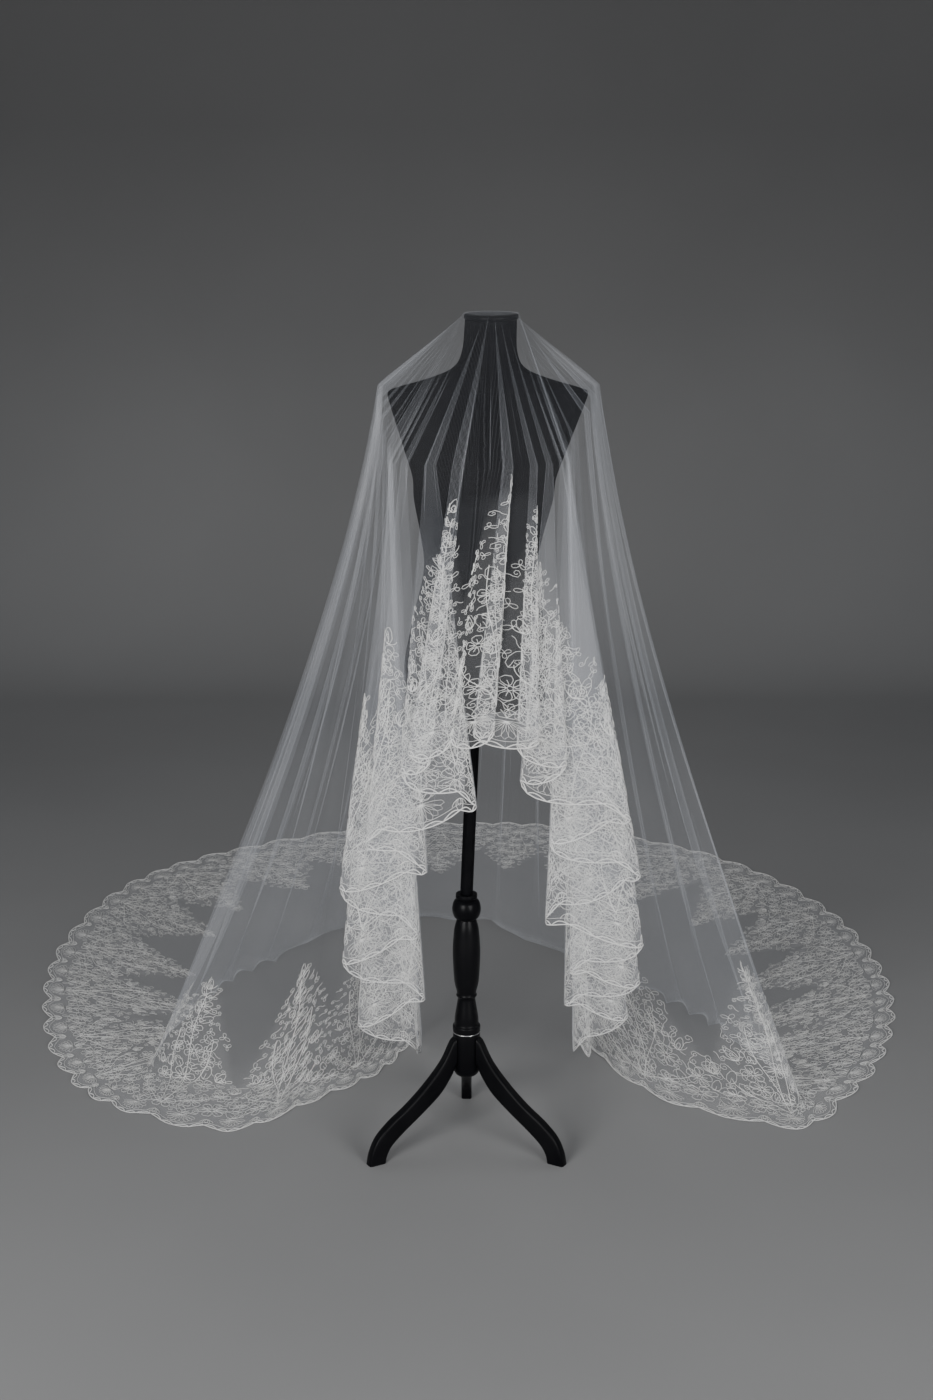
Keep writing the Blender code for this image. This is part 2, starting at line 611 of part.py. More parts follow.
def make_crown(grid, tulle):
    """Round piece of the sheet that lies flat on the cap, inside the first ring."""
    rim = grid[::4, 0]
    middle = np.array([lean_x(CAP_TOP), 0.0, DRAPE_TOP])
    ring = middle + (rim - middle) * (1 - 0.0016 / CAP_RADIUS)
    mid_ring = middle + (rim - middle) * 0.5
    count = len(ring)
    half = np.array([0, 0, TULLE_WALL / 2])
    points = np.concatenate([ring - half, mid_ring - half, [middle - half],
                             ring + half, mid_ring + half, [middle + half]])
    polygons = []
    high = 2 * count + 1
    for n in range(count):
        m = (n + 1) % count
        polygons += [(n, m, count + m, count + n), (count + n, count + m, 2 * count)]
        polygons += [(high + n, high + m, high + count + m, high + count + n),
                     (high + count + n, high + count + m, high + 2 * count)]
        polygons.append((n, m, high + m, high + n))
    return add_mesh("tulle_crown", points, polygons, tulle)


def make_veil(tulle, lace):
    """The sheet in its stretches, and its lace border in matching lengths."""
    grid, flame = drape_grid()
    count = len(grid)
    faces = drape_faces(flame)
    normals = grid_normals(grid)
    marks = stretch_marks()
    for name, (first, last, top, low) in marks.items():
        part = ring_faces(faces, count, first, last)
        if name.startswith("tulle"):
            part = [f for f in part if all(top <= c[1] <= low for c in f)]
            shell(name, grid, normals, part, -TULLE_WALL / 2, TULLE_WALL / 2, tulle)
        else:
            part = lace_of(part, flame)
            start = TULLE_WALL / 2 + SEAM
            shell(name, grid, normals, part, start, start + LACE_WALL, lace)
    make_crown(grid, tulle)


def ring_faces(faces, count, first, last):
    """Triangles between two columns, which may pass the first column of the ring."""
    chosen = []
    width = last - first
    for face in faces:
        columns = [(corner[0] - first) % count for corner in face]
        if max(columns) <= width:
            chosen.append(face)
    return chosen


def stretch_marks():
    """Where each stretch starts and ends: columns and rows of the grid, by name.

    A seam lies in the middle of a fold's flat run, never on its turn.
    """
    places = [run.place for run in all_runs()]
    middle = [int(round(low + high)) for low, high in zip(places, places[1:])]
    count = int(round(places[-1] * 2))
    back = 1 + len(RIGHT_FOLDS) + len(RIGHT_TENT)
    left_in = back + len(LEFT_TENT)
    blusher = (middle[-5] - count, middle[4])
    right = (blusher[1], middle[len(RIGHT_FOLDS)])
    left = (middle[left_in] - count, blusher[0])
    side_right = (right[1], middle[back - 4])
    middle_back = (side_right[1], middle[back + 3])
    side_left = (middle_back[1], left[0] + count)
    marks = {"tulle_blusher": (*blusher, 0, ROW_HEM)}
    for name, span in (("cascade_right", right), ("cascade_left", left)):
        marks["tulle_" + name] = (*span, 0, ROW_HEM)
    for name, span in (("right", side_right), ("back", middle_back), ("left", side_left)):
        marks["tulle_fall_" + name] = (*span, 0, ROW_CREASE)
        marks["tulle_train_" + name] = (*span, ROW_CREASE, ROW_HEM)
        marks["lace_train_" + name] = (*span, ROW_CREASE, ROW_HEM)
    marks["lace_blusher"] = (*blusher, 0, ROW_HEM)
    marks["lace_cascade_right"] = (*right, 0, ROW_HEM)
    marks["lace_cascade_left"] = (*left, 0, ROW_HEM)
    return marks


def centre_on_floor():
    """Moves every mesh so that the whole part's box is centred on x = 0, y = 0."""
    pieces = [o for o in bpy.context.scene.objects if o.type == "MESH"]
    corners = np.array([v.co[:] for o in pieces for v in o.data.vertices])
    shift = -(corners.min(axis=0) + corners.max(axis=0)) / 2
    for piece in pieces:
        for vertex in piece.data.vertices:
            vertex.co.x += shift[0]
            vertex.co.y += shift[1]


def main():
    for old in list(bpy.data.objects):
        bpy.data.objects.remove(old, do_unlink=True)
    tulle = make_material("tulle_cloth", (0.80, 0.82, 0.86), 0.80)
    lace = make_material("corded_lace", (0.93, 0.92, 0.89), 0.75)
    jersey = make_material("black_jersey", (0.025, 0.025, 0.028), 0.85)
    wood = make_material("black_lacquered_wood", (0.012, 0.012, 0.013), 0.25)
    steel = make_material("black_painted_steel", (0.015, 0.015, 0.016), 0.35, 0.3)
    make_form(jersey, wood)
    make_stand(wood, steel)
    make_veil(tulle, lace)
    centre_on_floor()


main()
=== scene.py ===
# %% [markdown]
# A bridal veil lies over the neck of a dress form on a turned wooden stand.
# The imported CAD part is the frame: the form, the stand and the veil as one folded sheet.
# This notebook gives each piece its true surface: tulle, corded lace, jersey and lacquer.

# %% title Open the frame
import math
from collections import namedtuple

import bpy
import numpy as np
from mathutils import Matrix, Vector


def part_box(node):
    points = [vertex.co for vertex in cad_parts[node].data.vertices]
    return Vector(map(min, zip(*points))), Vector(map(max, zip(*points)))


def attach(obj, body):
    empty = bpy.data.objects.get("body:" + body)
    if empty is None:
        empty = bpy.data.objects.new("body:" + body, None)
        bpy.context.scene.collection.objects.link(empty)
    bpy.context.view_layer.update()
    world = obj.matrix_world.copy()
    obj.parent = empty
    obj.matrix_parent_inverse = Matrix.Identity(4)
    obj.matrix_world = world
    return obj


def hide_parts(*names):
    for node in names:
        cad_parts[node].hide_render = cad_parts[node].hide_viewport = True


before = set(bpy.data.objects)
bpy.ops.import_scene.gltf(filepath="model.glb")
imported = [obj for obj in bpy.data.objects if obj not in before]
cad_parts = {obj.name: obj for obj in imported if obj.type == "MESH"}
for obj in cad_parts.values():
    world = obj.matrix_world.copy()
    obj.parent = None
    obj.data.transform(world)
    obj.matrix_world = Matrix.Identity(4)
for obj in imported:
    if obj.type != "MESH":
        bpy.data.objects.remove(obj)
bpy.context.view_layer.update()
scene = bpy.context.scene
print("pieces in the frame:", len(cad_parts))

# %% [markdown]
# The stand's own axis is the place everything is measured from.
# The hub at the bottom of the post is round, so the middle of its box is that axis.

# %% title Find the stand's axis
low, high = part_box("hub")
AXIS = np.array([(low.x + high.x) / 2, (low.y + high.y) / 2, 0.0])
print("axis of the stand:", AXIS.round(4))

# %% [markdown]
# The camera stands in front at head height and looks a little down.
# Its long side is 36 mm and its lens 56 mm, like an ordinary camera held upright.

# %% title Camera
CAMERA_BACK, CAMERA_HEIGHT = 3.90, 1.9445
CAMERA_TILT = math.radians(15.1)
lens = bpy.data.cameras.new("camera")
lens.lens, lens.sensor_width = 56.06, 36.0
camera = bpy.data.objects.new("camera", lens)
scene.collection.objects.link(camera)
camera.location = Vector(AXIS) + Vector((0.0, -CAMERA_BACK, CAMERA_HEIGHT))
camera.rotation_euler = (math.pi / 2 - CAMERA_TILT, 0.0, 0.0)
scene.camera = camera
print("camera at", [round(v, 3) for v in camera.location])

# %% [markdown]
# A drop veil is one round sheet that hangs from the top of the head, here from the neck cap.
# It is described by runs of cloth: each run leaves the cap, falls and reaches the hem.
# Places around the hem are counted in scallops of the lace, starting at the front middle.

# %% title Sizes of the drape
CAP_TOP, CAP_RADIUS, CAP_THICK = 1.600, 0.049, 0.010
SEAM, WALL = 0.0003, 0.001
TORSO_FOOT, POST_TOP = 0.894, 0.512
LEAN = math.radians(2.3)
SCALLOP_DEPTH = 0.020
DRAPE_TOP = CAP_TOP + SEAM + WALL / 2
FLOOR_LEVEL = WALL / 2
FRONT_HOLD_Z, FRONT_FIRST_Y = 1.36, -0.214
KNEE_Z, KNEE_SPREAD, LAST_DEPTH = 0.885, 1.12, -0.122
FAN_TURN, TENT_BEND = 0.33, 1.30
FOLD_OVERLAP, FOLD_START = 0.85, 0.85
TENT_FOLD, TENT_FOLD_DEPTH = 3, 0.022
SAMPLES = 90

FrontFold = namedtuple("FrontFold", "scallops x y z step")
MIDDLE_FOLD = FrontFold(0, -0.030, -0.214, 0.856, 0)
RIGHT_FOLDS = (
    FrontFold(1.0, 0.046, -0.204, 0.868, 0.0040),
    FrontFold(1.0, 0.008, -0.197, 0.870, 0.0075),
    FrontFold(1.0, 0.127, -0.190, 0.846, 0.0075),
    FrontFold(1.0, 0.086, -0.183, 0.842, 0.0070),
    FrontFold(1.0, 0.179, -0.175, 0.800, 0.0065),
    FrontFold(1.0, 0.094, -0.166, 0.768, 0.0065),
    FrontFold(1.5, 0.298, -0.150, 0.700, 0.0060),
    FrontFold(1.5, 0.150, -0.128, 0.640, 0.0050),
    FrontFold(1.5, 0.322, -0.104, 0.575, 0.0050),
    FrontFold(2.0, 0.146, -0.076, 0.479, 0.0045),
    FrontFold(1.5, 0.335, -0.046, 0.405, 0.0040),
    FrontFold(1.5, 0.195, -0.016, 0.350, 0.0035),
    FrontFold(1.5, 0.335, 0.014, 0.305, 0.0035),
    FrontFold(1.5, 0.190, 0.046, 0.258, 0.0035),
    FrontFold(1.5, 0.318, 0.090, 0.205, 0.0035),
    FrontFold(1.5, 0.215, 0.170, 0.110, 0.0060),
)
LEFT_FOLDS = (
    FrontFold(1.0, -0.105, -0.195, 0.830, 0.0050),
    FrontFold(1.0, -0.064, -0.187, 0.815, 0.0080),
    FrontFold(1.0, -0.118, -0.179, 0.790, 0.0075),
    FrontFold(1.5, 0.020, -0.170, 0.731, 0.0065),
    FrontFold(2.0, -0.183, -0.153, 0.655, 0.0060),
    FrontFold(1.0, -0.071, -0.130, 0.595, 0.0055),
    FrontFold(1.5, -0.236, -0.104, 0.541, 0.0055),
    FrontFold(1.5, -0.090, -0.074, 0.450, 0.0050),
    FrontFold(1.5, -0.236, -0.042, 0.370, 0.0050),
    FrontFold(1.5, -0.079, -0.008, 0.295, 0.0045),
    FrontFold(1.5, -0.212, 0.045, 0.205, 0.0045),
    FrontFold(1.5, -0.090, 0.130, 0.125, 0.0060),
)

TentRun = namedtuple("TentRun", "scallops hold_x hold_y hold_z base_x base_y hem_x hem_y")
RIGHT_TENT = (
    TentRun(3, 0.178, -0.112, 1.385, 0.264, 0.430, 0.264, 0.430),
    TentRun(1, 0.192, -0.100, 1.405, 0.330, 0.370, 0.325, 0.285),
    TentRun(1, 0.206, -0.084, 1.425, 0.420, 0.270, 0.410, 0.160),
    TentRun(1, 0.219, -0.058, 1.448, 0.550, 0.200, 0.530, 0.085),
    TentRun(1, 0.229, -0.026, 1.470, 0.654, 0.160, 0.650, 0.040),
    TentRun(2, 0.232, 0.008, 1.473, 0.665, 0.250, 0.800, 0.210),
    TentRun(3, 0.229, 0.038, 1.470, 0.600, 0.420, 0.930, 0.500),
    TentRun(4, 0.217, 0.068, 1.462, 0.500, 0.600, 0.978, 0.900),
    TentRun(4, 0.195, 0.095, 1.450, 0.370, 0.780, 0.900, 1.320),
    TentRun(4, 0.160, 0.116, 1.440, 0.235, 0.950, 0.660, 1.700),
    TentRun(3, 0.110, 0.128, 1.430, 0.120, 1.090, 0.360, 1.900),
)
BACK_RUN = TentRun(4, 0.041, 0.132, 1.425, 0.000, 1.190, 0.030, 1.970)
LEFT_TENT = (
    TentRun(4, -0.134, -0.100, 1.385, -0.104, 0.490, -0.104, 0.490),
    TentRun(3, -0.146, -0.094, 1.400, -0.210, 0.370, -0.190, 0.290),
    TentRun(2, -0.151, -0.076, 1.425, -0.315, 0.270, -0.310, 0.165),
    TentRun(2, -0.154, -0.052, 1.450, -0.450, 0.250, -0.470, 0.030),
    TentRun(2, -0.152, -0.024, 1.470, -0.630, 0.290, -0.690, 0.120),
    TentRun(3, -0.155, 0.010, 1.473, -0.660, 0.430, -0.860, 0.330),
    TentRun(3, -0.152, 0.040, 1.470, -0.620, 0.600, -0.955, 0.650),
    TentRun(3, -0.140, 0.070, 1.462, -0.550, 0.780, -0.985, 1.000),
    TentRun(4, -0.117, 0.096, 1.450, -0.430, 0.950, -0.880, 1.470),
    TentRun(4, -0.080, 0.116, 1.440, -0.280, 1.120, -0.620, 1.750),
    TentRun(3, -0.020, 0.128, 1.430, -0.130, 1.200, -0.300, 1.920),
)
print("front folds:", len(RIGHT_FOLDS) + len(LEFT_FOLDS), "tent runs:",
      len(RIGHT_TENT) + len(LEFT_TENT) + 1)

# %% [markdown]
# The cloth that leaves the cap towards the front fans out over the chest.
# Each fold of the front lies a few millimetres behind the one before it.
# Below the torso the folds are free, so they swing back: that bend is the knee.

# %% title Where the runs start and end


def lean_x(z):
    """Sideways shift of the leaning pole and form: tan(lean) (z - top of the post)."""
    return math.tan(LEAN) * (z - POST_TOP)


def fan_x(turn):
    """Place on the chest of a run: middle + side tanh(turn / fan)."""
    middle = lean_x(FRONT_HOLD_Z)
    side = np.where(turn > 0, RIGHT_TENT[0].hold_x - middle, middle - LEFT_TENT[0].hold_x)
    return middle + side * np.tanh(turn / FAN_TURN)


def knee_depth(depth):
    """Depth of a front fold at the knee: last + (depth - last) spread."""
    return LAST_DEPTH + (depth - LAST_DEPTH) * KNEE_SPREAD


def front_table(whole):
    """Rows of the hanging folds: place, hold, foot, hem, bends, wave, flute, depth."""
    rows = [(0.0, FRONT_FIRST_Y, MIDDLE_FOLD)]
    for folds, way in ((RIGHT_FOLDS, 1), (LEFT_FOLDS, -1)):
        place, depth = 0.0, FRONT_FIRST_Y
        for fold in folds:
            place += fold.scallops
            depth += fold.step
            rows.append((place * way, depth, fold))
    rows.sort(key=lambda row: row[0])
    fan = fan_x(np.array([2 * math.pi * row[0] / whole for row in rows]))
    for n in range(len(rows) - 1):
        if rows[n + 1][2].x < rows[n][2].x:
            over = FOLD_OVERLAP * (fan[n + 1] - fan[n])
            fan[n], fan[n + 1] = fan[n] + over, fan[n + 1] - over
    table = []
    for (place, depth, fold), hold_x in zip(rows, fan):
        knee = knee_depth(depth)
        share = min(max((KNEE_Z - fold.z) / 0.2, 0.0), 1.0)
        hem = (fold.x, knee + (fold.y - knee) * share, fold.z)
        table.append((place, hold_x, depth, FRONT_HOLD_Z, *hem, *hem, 1, 3, 0, 0, depth))
    return table


def tent_table():
    """Rows of the cloth that reaches the floor, and the whole count of scallops."""
    rows = [*RIGHT_TENT, BACK_RUN, *reversed(LEFT_TENT)]
    right = sum(fold.scallops for fold in RIGHT_FOLDS)
    left = sum(fold.scallops for fold in LEFT_FOLDS)
    steps = np.array([row.scallops for row in (*RIGHT_TENT, BACK_RUN)])
    back_steps = np.array([row.scallops for row in LEFT_TENT])
    whole = right + steps.sum() + TENT_FOLD + back_steps.sum() + left
    places = [*(right + np.cumsum(steps)), *(whole - left - np.cumsum(back_steps)[::-1])]
    ease = (0.0, 0.0, 0.3, 0.7)
    flute = [*ease, *[1.0] * (len(rows) - 8), *reversed(ease)]
    table = []
    for place, row, part in zip(places, rows, flute):
        hold = (row.hold_x, row.hold_y, row.hold_z)
        foot = (row.base_x, row.base_y, FLOOR_LEVEL)
        hem = (row.hem_x, row.hem_y, FLOOR_LEVEL)
        table.append((place, *hold, *foot, *hem, TENT_BEND, TENT_BEND, 1, part, row.hold_y))
    return table, float(whole)


tent, WHOLE = tent_table()
front = front_table(WHOLE)
left_again = [(row[0] + WHOLE, *row[1:]) for row in front if row[0] <= 0]
TABLE = np.array([row for row in front if row[0] >= 0] + tent + left_again)
PLACES, ROWS = TABLE[:, 0], TABLE[:, 1:]
print("scallops around the hem:", WHOLE)

# %% [markdown]
# Between two runs the front cloth turns round in a fold, so its sideways place is eased.
# The tent is one smooth flared surface, so its runs are joined by a smooth curve instead.

# %% title Runs at any place along the hem


def smooth_rows(places, values, at):
    """Cubic curve through rows: each piece starts and ends with the neighbours' slope."""
    slope = np.gradient(values, places, axis=0)
    index = np.clip(np.searchsorted(places, at, side="right") - 1, 0, len(places) - 2)
    gap = (places[index + 1] - places[index])[:, None]
    f = (at - places[index])[:, None] / gap
    low, high = values[index], values[index + 1]
    return (
        (2 * f**3 - 3 * f**2 + 1) * low + (f**3 - 2 * f**2 + f) * slope[index] * gap
        + (3 * f**2 - 2 * f**3) * high + (f**3 - f**2) * slope[index + 1] * gap
    )


def run_values(at):
    """Hold, foot, hem and bends at places along the hem.

    A front fold turns as x = x0 + (x1 - x0)(1 - cos pi f)/2 and steps back near its ends,
    as y = y0 + (y1 - y0)(1 + (2f - 1)^3)/2, where f is the share of the way to the next.
    """
    on_floor = ROWS[:, 11] > 0.5
    tent_rows = smooth_rows(PLACES[on_floor], ROWS[on_floor], at)
    index = np.clip(np.searchsorted(PLACES, at, side="right") - 1, 0, len(PLACES) - 2)
    f = ((at - PLACES[index]) / (PLACES[index + 1] - PLACES[index]))[:, None]
    low, change = ROWS[index], ROWS[index + 1] - ROWS[index]
    share = np.repeat(f, ROWS.shape[1], axis=1)
    share[:, [0, 3, 6]] = (1 - np.cos(np.pi * f)) / 2
    share[:, [4, 7, 13]] = 0.5 + 0.5 * (2 * f - 1) ** 3
    inside = (on_floor[index] & on_floor[index + 1])[:, None]
    return np.where(inside, tent_rows, low + change * share)


def fall_path(values, rim_angle, at):
    """Points of each run from the rim of the cap over the form to the hem."""
    hold, foot, hem = values[:, 0:3], values[:, 3:6], values[:, 6:9]
    bend_x, bend_y, wave = values[:, 9:10], values[:, 10:11], values[:, 11:12]
    rim = np.stack([lean_x(CAP_TOP) + CAP_RADIUS * np.sin(rim_angle),
                    -CAP_RADIUS * np.cos(rim_angle),
                    np.full(len(rim_angle), DRAPE_TOP)], axis=1)
    t = np.linspace(0, 1, SAMPLES)
    fan = hold.copy()
    fan[:, 0] = fan_x((rim_angle + np.pi) % (2 * np.pi) - np.pi)
    fan = fan * (1 - wave) + hold * wave
    neck = (rim[:, None] + (fan - rim)[:, None] * t[None, :, None]
            + (hold - fan)[:, None] * (t**FOLD_START)[None, :, None])
    x = hold[:, :1] + (foot - hold)[:, :1] * t**bend_x
    z = hold[:, 2:] + (foot - hold)[:, 2:] * t
    knee = knee_depth(values[:, 13:14])
    above = (hold[:, 2:] - z) / (hold[:, 2:] - KNEE_Z)
    below = (KNEE_Z - z) / (KNEE_Z - foot[:, 2:])
    hung = np.where(z > KNEE_Z, hold[:, 1:2] + (knee - hold[:, 1:2]) * above,
                    knee + (foot[:, 1:2] - knee) * below)
    drawn = hold[:, 1:2] + (foot - hold)[:, 1:2] * t**bend_y
    y = hung * (1 - wave) + drawn * wave
    along_x, along_y = np.gradient(x, at, axis=0), np.gradient(y, at, axis=0)
    size = np.hypot(along_x, along_y) + 1e-9
    fade = (t**0.7 * (1 - t) ** 0.6 * 1.9)[None, :]
    swing = np.cos(2 * np.pi * at / TENT_FOLD)[:, None]
    push = np.minimum(TENT_FOLD_DEPTH * fade, 0.14 * TENT_FOLD * size)
    push = push * values[:, 12:13] * swing
    fall = np.stack([x + along_y / size * push, y - along_x / size * push, z], axis=2)
    floor = foot[:, None] + (hem - foot)[:, None] * t[None, :, None]
    return np.concatenate([neck, fall[:, 1:], floor[:, 1:]], axis=1)


def path_lengths(path):
    """Distance along each run: running sum of the steps between its points."""
    step = np.linalg.norm(np.diff(path, axis=1), axis=2)
    return np.concatenate([np.zeros((len(path), 1)), np.cumsum(step, axis=1)], axis=1)


def rim_angles(at):
    """Angle on the cap of each run, shared out as the flat round sheet shares its hem."""
    fine = np.linspace(0, WHOLE, 4 * int(WHOLE) + 1)
    path = fall_path(run_values(fine), np.linspace(0, 2 * np.pi, len(fine)), fine)
    length = path_lengths(path)[:, -1] + CAP_RADIUS
    along = np.linalg.norm(np.diff(path[:, -1], axis=0), axis=1)
    turn = np.sqrt(np.maximum(along**2 - np.diff(length) ** 2, (0.3 * along) ** 2))
    turn = turn / (length[1:] + length[:-1]) * 2
    turn = np.maximum(turn, 0.75 * turn.mean())
    total = np.concatenate([[0], np.cumsum(turn)])
    return np.interp(at, fine, total / total[-1] * 2 * np.pi)


FINE = 8
AT = np.arange(int(WHOLE) * FINE) / FINE
ANGLES = rim_angles(AT)
PATH = fall_path(run_values(AT), ANGLES, AT)
LENGTHS = path_lengths(PATH)
LENGTH = LENGTHS[:, -1]
print("runs:", len(AT), "shortest %.2f m, longest %.2f m" % (LENGTH.min(), LENGTH.max()))

# %% [markdown]
# A flat round sheet has more cloth round the neck than the form takes up, so it pleats.
# A meander has the heading a sin(2 pi t); past 90 degrees its bends overlap, yet it never
# crosses itself. The pleats start at the cap, are deepest on the chest and die out below.

# %% title Soft pleats
PLEAT_STEP, PLEAT_DEPTH = 1.5, 0.005
HEADING = math.radians(104)


def unit(vectors):
    """Vectors of length one."""
    return vectors / (np.linalg.norm(vectors, axis=-1, keepdims=True) + 1e-12)


def meander(t):
    """Sideways shift and depth of a meander of step one, with heading a sin(2 pi t)."""
    fine = np.linspace(0, 1, 201)
    turn = HEADING * np.sin(2 * np.pi * fine)
    x, y = np.cumsum(np.cos(turn)), np.cumsum(np.sin(turn))
    x, y = (x - x[0]) / (x[-1] - x[0]), (y - y.mean()) / (x[-1] - x[0])
    return np.interp(t % 1, fine, x - fine), np.interp(t % 1, fine, y)


def pleat_strength():
    """Share of the pleats along each run: none at the rim, full on the chest, then less."""
    on_tent = run_values(AT)[:, 11:12]
    low = 0.12 + 0.48 * on_tent
    t = np.linspace(0, 1, SAMPLES)[None, :]
    neck = np.sin(np.pi / 2 * t) ** 1.5 + 0 * low
    fall = (low + (1 - low) * (1 - t) ** 3) * (1 - on_tent * t**4)
    floor = low * (1 - on_tent + 0.4 * on_tent * t)
    return np.concatenate([neck, fall[:, 1:], floor[:, 1:]], axis=1)


around = np.roll(PATH, -1, axis=0) - np.roll(PATH, 1, axis=0)
width = np.linalg.norm(around, axis=-1) * FINE / 2 * PLEAT_STEP
width = np.minimum(width, 0.06)
around = unit(around)
outward = unit(np.cross(np.gradient(PATH, axis=1), around))
shift, depth = meander(AT / PLEAT_STEP + 0.12 * np.sin(0.9 * AT) + 0.1 * np.sin(2.3 * AT))
share = pleat_strength()
aside = (shift[:, None] * width * share)[..., None] * around
depth = np.clip(0.45 * depth[:, None] * width, -PLEAT_DEPTH, PLEAT_DEPTH) * share
PATH = PATH + aside + depth[..., None] * outward
PATH[..., 2] = np.maximum(PATH[..., 2], FLOOR_LEVEL)
print("pleats round the neck:", int(WHOLE / PLEAT_STEP))

# %% [markdown]
# The sheet is now a surface with two ways to go: around the hem, and up from the hem.
# The same two numbers give a place on the flat cut, because a round veil is cut in polar
# coordinates: the angle at the cap and the distance from the middle of the crown.

# %% title Points of the sheet and of its flat cut
PITCH = np.linalg.norm(np.roll(PATH[:, -1], -FINE // 2, axis=0)
                       - np.roll(PATH[:, -1], FINE // 2, axis=0), axis=1)


def scallop_edge(s):
    """How far the hem is cut back: depth (1 - |sin pi s| (share that is spread out))."""
    spread = np.interp(s % WHOLE, AT, np.minimum(PITCH / 0.08, 1))
    return SCALLOP_DEPTH * (1 - np.abs(np.sin(np.pi * s)) * spread)


def sheet_points(marks):
    """Points at distances along each run; each run has its own part of one long ruler."""
    ruler = (LENGTH.max() + 1) * np.arange(len(PATH))[:, None]
    at = (np.clip(marks, 0, LENGTH[:, None]) + ruler).ravel()
    known = (LENGTHS + ruler).ravel()
    spots = [np.interp(at, known, PATH[..., axis].ravel()) for axis in range(3)]
    return np.stack(spots, axis=-1).reshape(*marks.shape, 3)


def flat_points(marks):
    """The same points on the flat cut: x = r sin angle, y = -r cos angle."""
    r = CAP_RADIUS + marks
    angle = ANGLES[:, None]
    return np.stack([r * np.sin(angle), -r * np.cos(angle)], axis=-1)


# %% [markdown]
# Every surface in this notebook is a grid of points, worked out as whole arrays.
# One helper turns such a grid into a mesh with its own UV coordinates.

# %% title Mesh from a grid of points


def add_mesh(name, points, faces, uv, smooth=True):
    """Object with a mesh from arrays: points (n x 3), faces (m x 3 or 4), uv (n x 2)."""
    mesh = bpy.data.meshes.new(name)
    mesh.from_pydata((points + AXIS).tolist(), [], faces.tolist())
    corners = np.zeros(len(mesh.loops), dtype=np.int32)
    mesh.loops.foreach_get("vertex_index", corners)
    layer = mesh.uv_layers.new(name="UVMap")
    layer.data.foreach_set("uv", uv[corners].astype(np.float32).ravel())
    mesh.polygons.foreach_set("use_smooth", np.full(len(mesh.polygons), smooth))
    mesh.update()
    piece = bpy.data.objects.new(name, mesh)
    scene.collection.objects.link(piece)
    return piece


def grid_faces(columns, rows, closed):
    """Four-cornered faces of a grid; closed joins the last column to the first."""
    here = np.arange(columns if closed else columns - 1)[:, None] * rows
    there = (here + rows) % (columns * rows)
    down = np.arange(rows - 1)[None, :]
    faces = np.stack([here + down, here + down + 1, there + down + 1, there + down], axis=-1)
    return faces.reshape(-1, 4)


def add_grid(name, points, uv, closed=True):
    """Object from a grid of points (columns x rows x 3)."""
    columns, rows = points.shape[:2]
    faces = grid_faces(columns, rows, closed)
    return add_mesh(name, points.reshape(-1, 3), faces, uv.reshape(-1, 2))


# %% [markdown]
# Materials are built from nodes. These helpers add one node and join it in one line.
# An effect that several materials share is a node group; it only gives values and colours.

# %% title Node helpers


def add_node(tree, kind, **settings):
    """New shader node with its settings."""
    node = tree.nodes.new("ShaderNode" + kind)
    for name, value in settings.items():
        setattr(node, name, value)
    return node


def feed(tree, socket, value):
    """Joins a socket to another one, or sets it to a plain value."""
    if isinstance(value, bpy.types.NodeSocket):
        tree.links.new(value, socket)
    else:
        socket.default_value = value


def sums(tree, operation, a, b=0.0):
    """Result of one Math node."""
    node = add_node(tree, "Math", operation=operation)
    feed(tree, node.inputs[0], a)
    feed(tree, node.inputs[1], b)
    return node.outputs[0]


def spread(tree, value, low, high, to_low, to_high):
    """Maps a value from one range to another and keeps it inside."""
    node = add_node(tree, "MapRange")
    feed(tree, node.inputs["Value"], value)
    for name, number in (("From Min", low), ("From Max", high),
                         ("To Min", to_low), ("To Max", to_high)):
        node.inputs[name].default_value = number
    return node.outputs["Result"]


def blend(tree, share, colour_a, colour_b):
    """Mixes two colours."""
    node = add_node(tree, "Mix", data_type="RGBA")
    feed(tree, node.inputs["Factor"], share)
    feed(tree, node.inputs["A"], colour_a)
    feed(tree, node.inputs["B"], colour_b)
    return node.outputs["Result"]


def new_group(name, inputs, outputs):
    """Empty node group with its sockets, and its input and output nodes."""
    tree = bpy.data.node_groups.new(name, "ShaderNodeTree")
    for label, kind in inputs:
        tree.interface.new_socket(label, in_out="INPUT", socket_type="NodeSocket" + kind)
    for label, kind in outputs:
        tree.interface.new_socket(label, in_out="OUTPUT", socket_type="NodeSocket" + kind)
    return tree, tree.nodes.new("NodeGroupInput"), tree.nodes.new("NodeGroupOutput")


def use_group(tree, group, **values):
    """Puts a node group into a material and sets its inputs."""
    node = tree.nodes.new("ShaderNodeGroup")
    node.node_tree = group
    for name, value in values.items():
        feed(tree, node.inputs[name], value)
    return node


def new_material(name):
    """Material with its node tree and its Principled shader."""
    material = bpy.data.materials.new(name)
    material.use_nodes = True
    return material, material.node_tree, material.node_tree.nodes["Principled BSDF"]


# %% [markdown]
# Tulle is a net of six-sided holes about two millimetres wide.
# Distance to the edge of a Voronoi cell gives exactly such threads around such holes.

# %% title Net, patches and twist as node groups
net_group, given, result = new_group(
    "net_threads", (("Flat", "Vector"), ("Scale", "Float")), (("Thread", "Float"),))
cells = add_node(net_group, "TexVoronoi", voronoi_dimensions="2D", feature="DISTANCE_TO_EDGE")
cells.inputs["Randomness"].default_value = 0.35
feed(net_group, cells.inputs["Vector"], given.outputs["Flat"])
feed(net_group, cells.inputs["Scale"], given.outputs["Scale"])
feed(net_group, result.inputs["Thread"],
     spread(net_group, cells.outputs["Distance"], 0.03, 0.14, 1.0, 0.0))

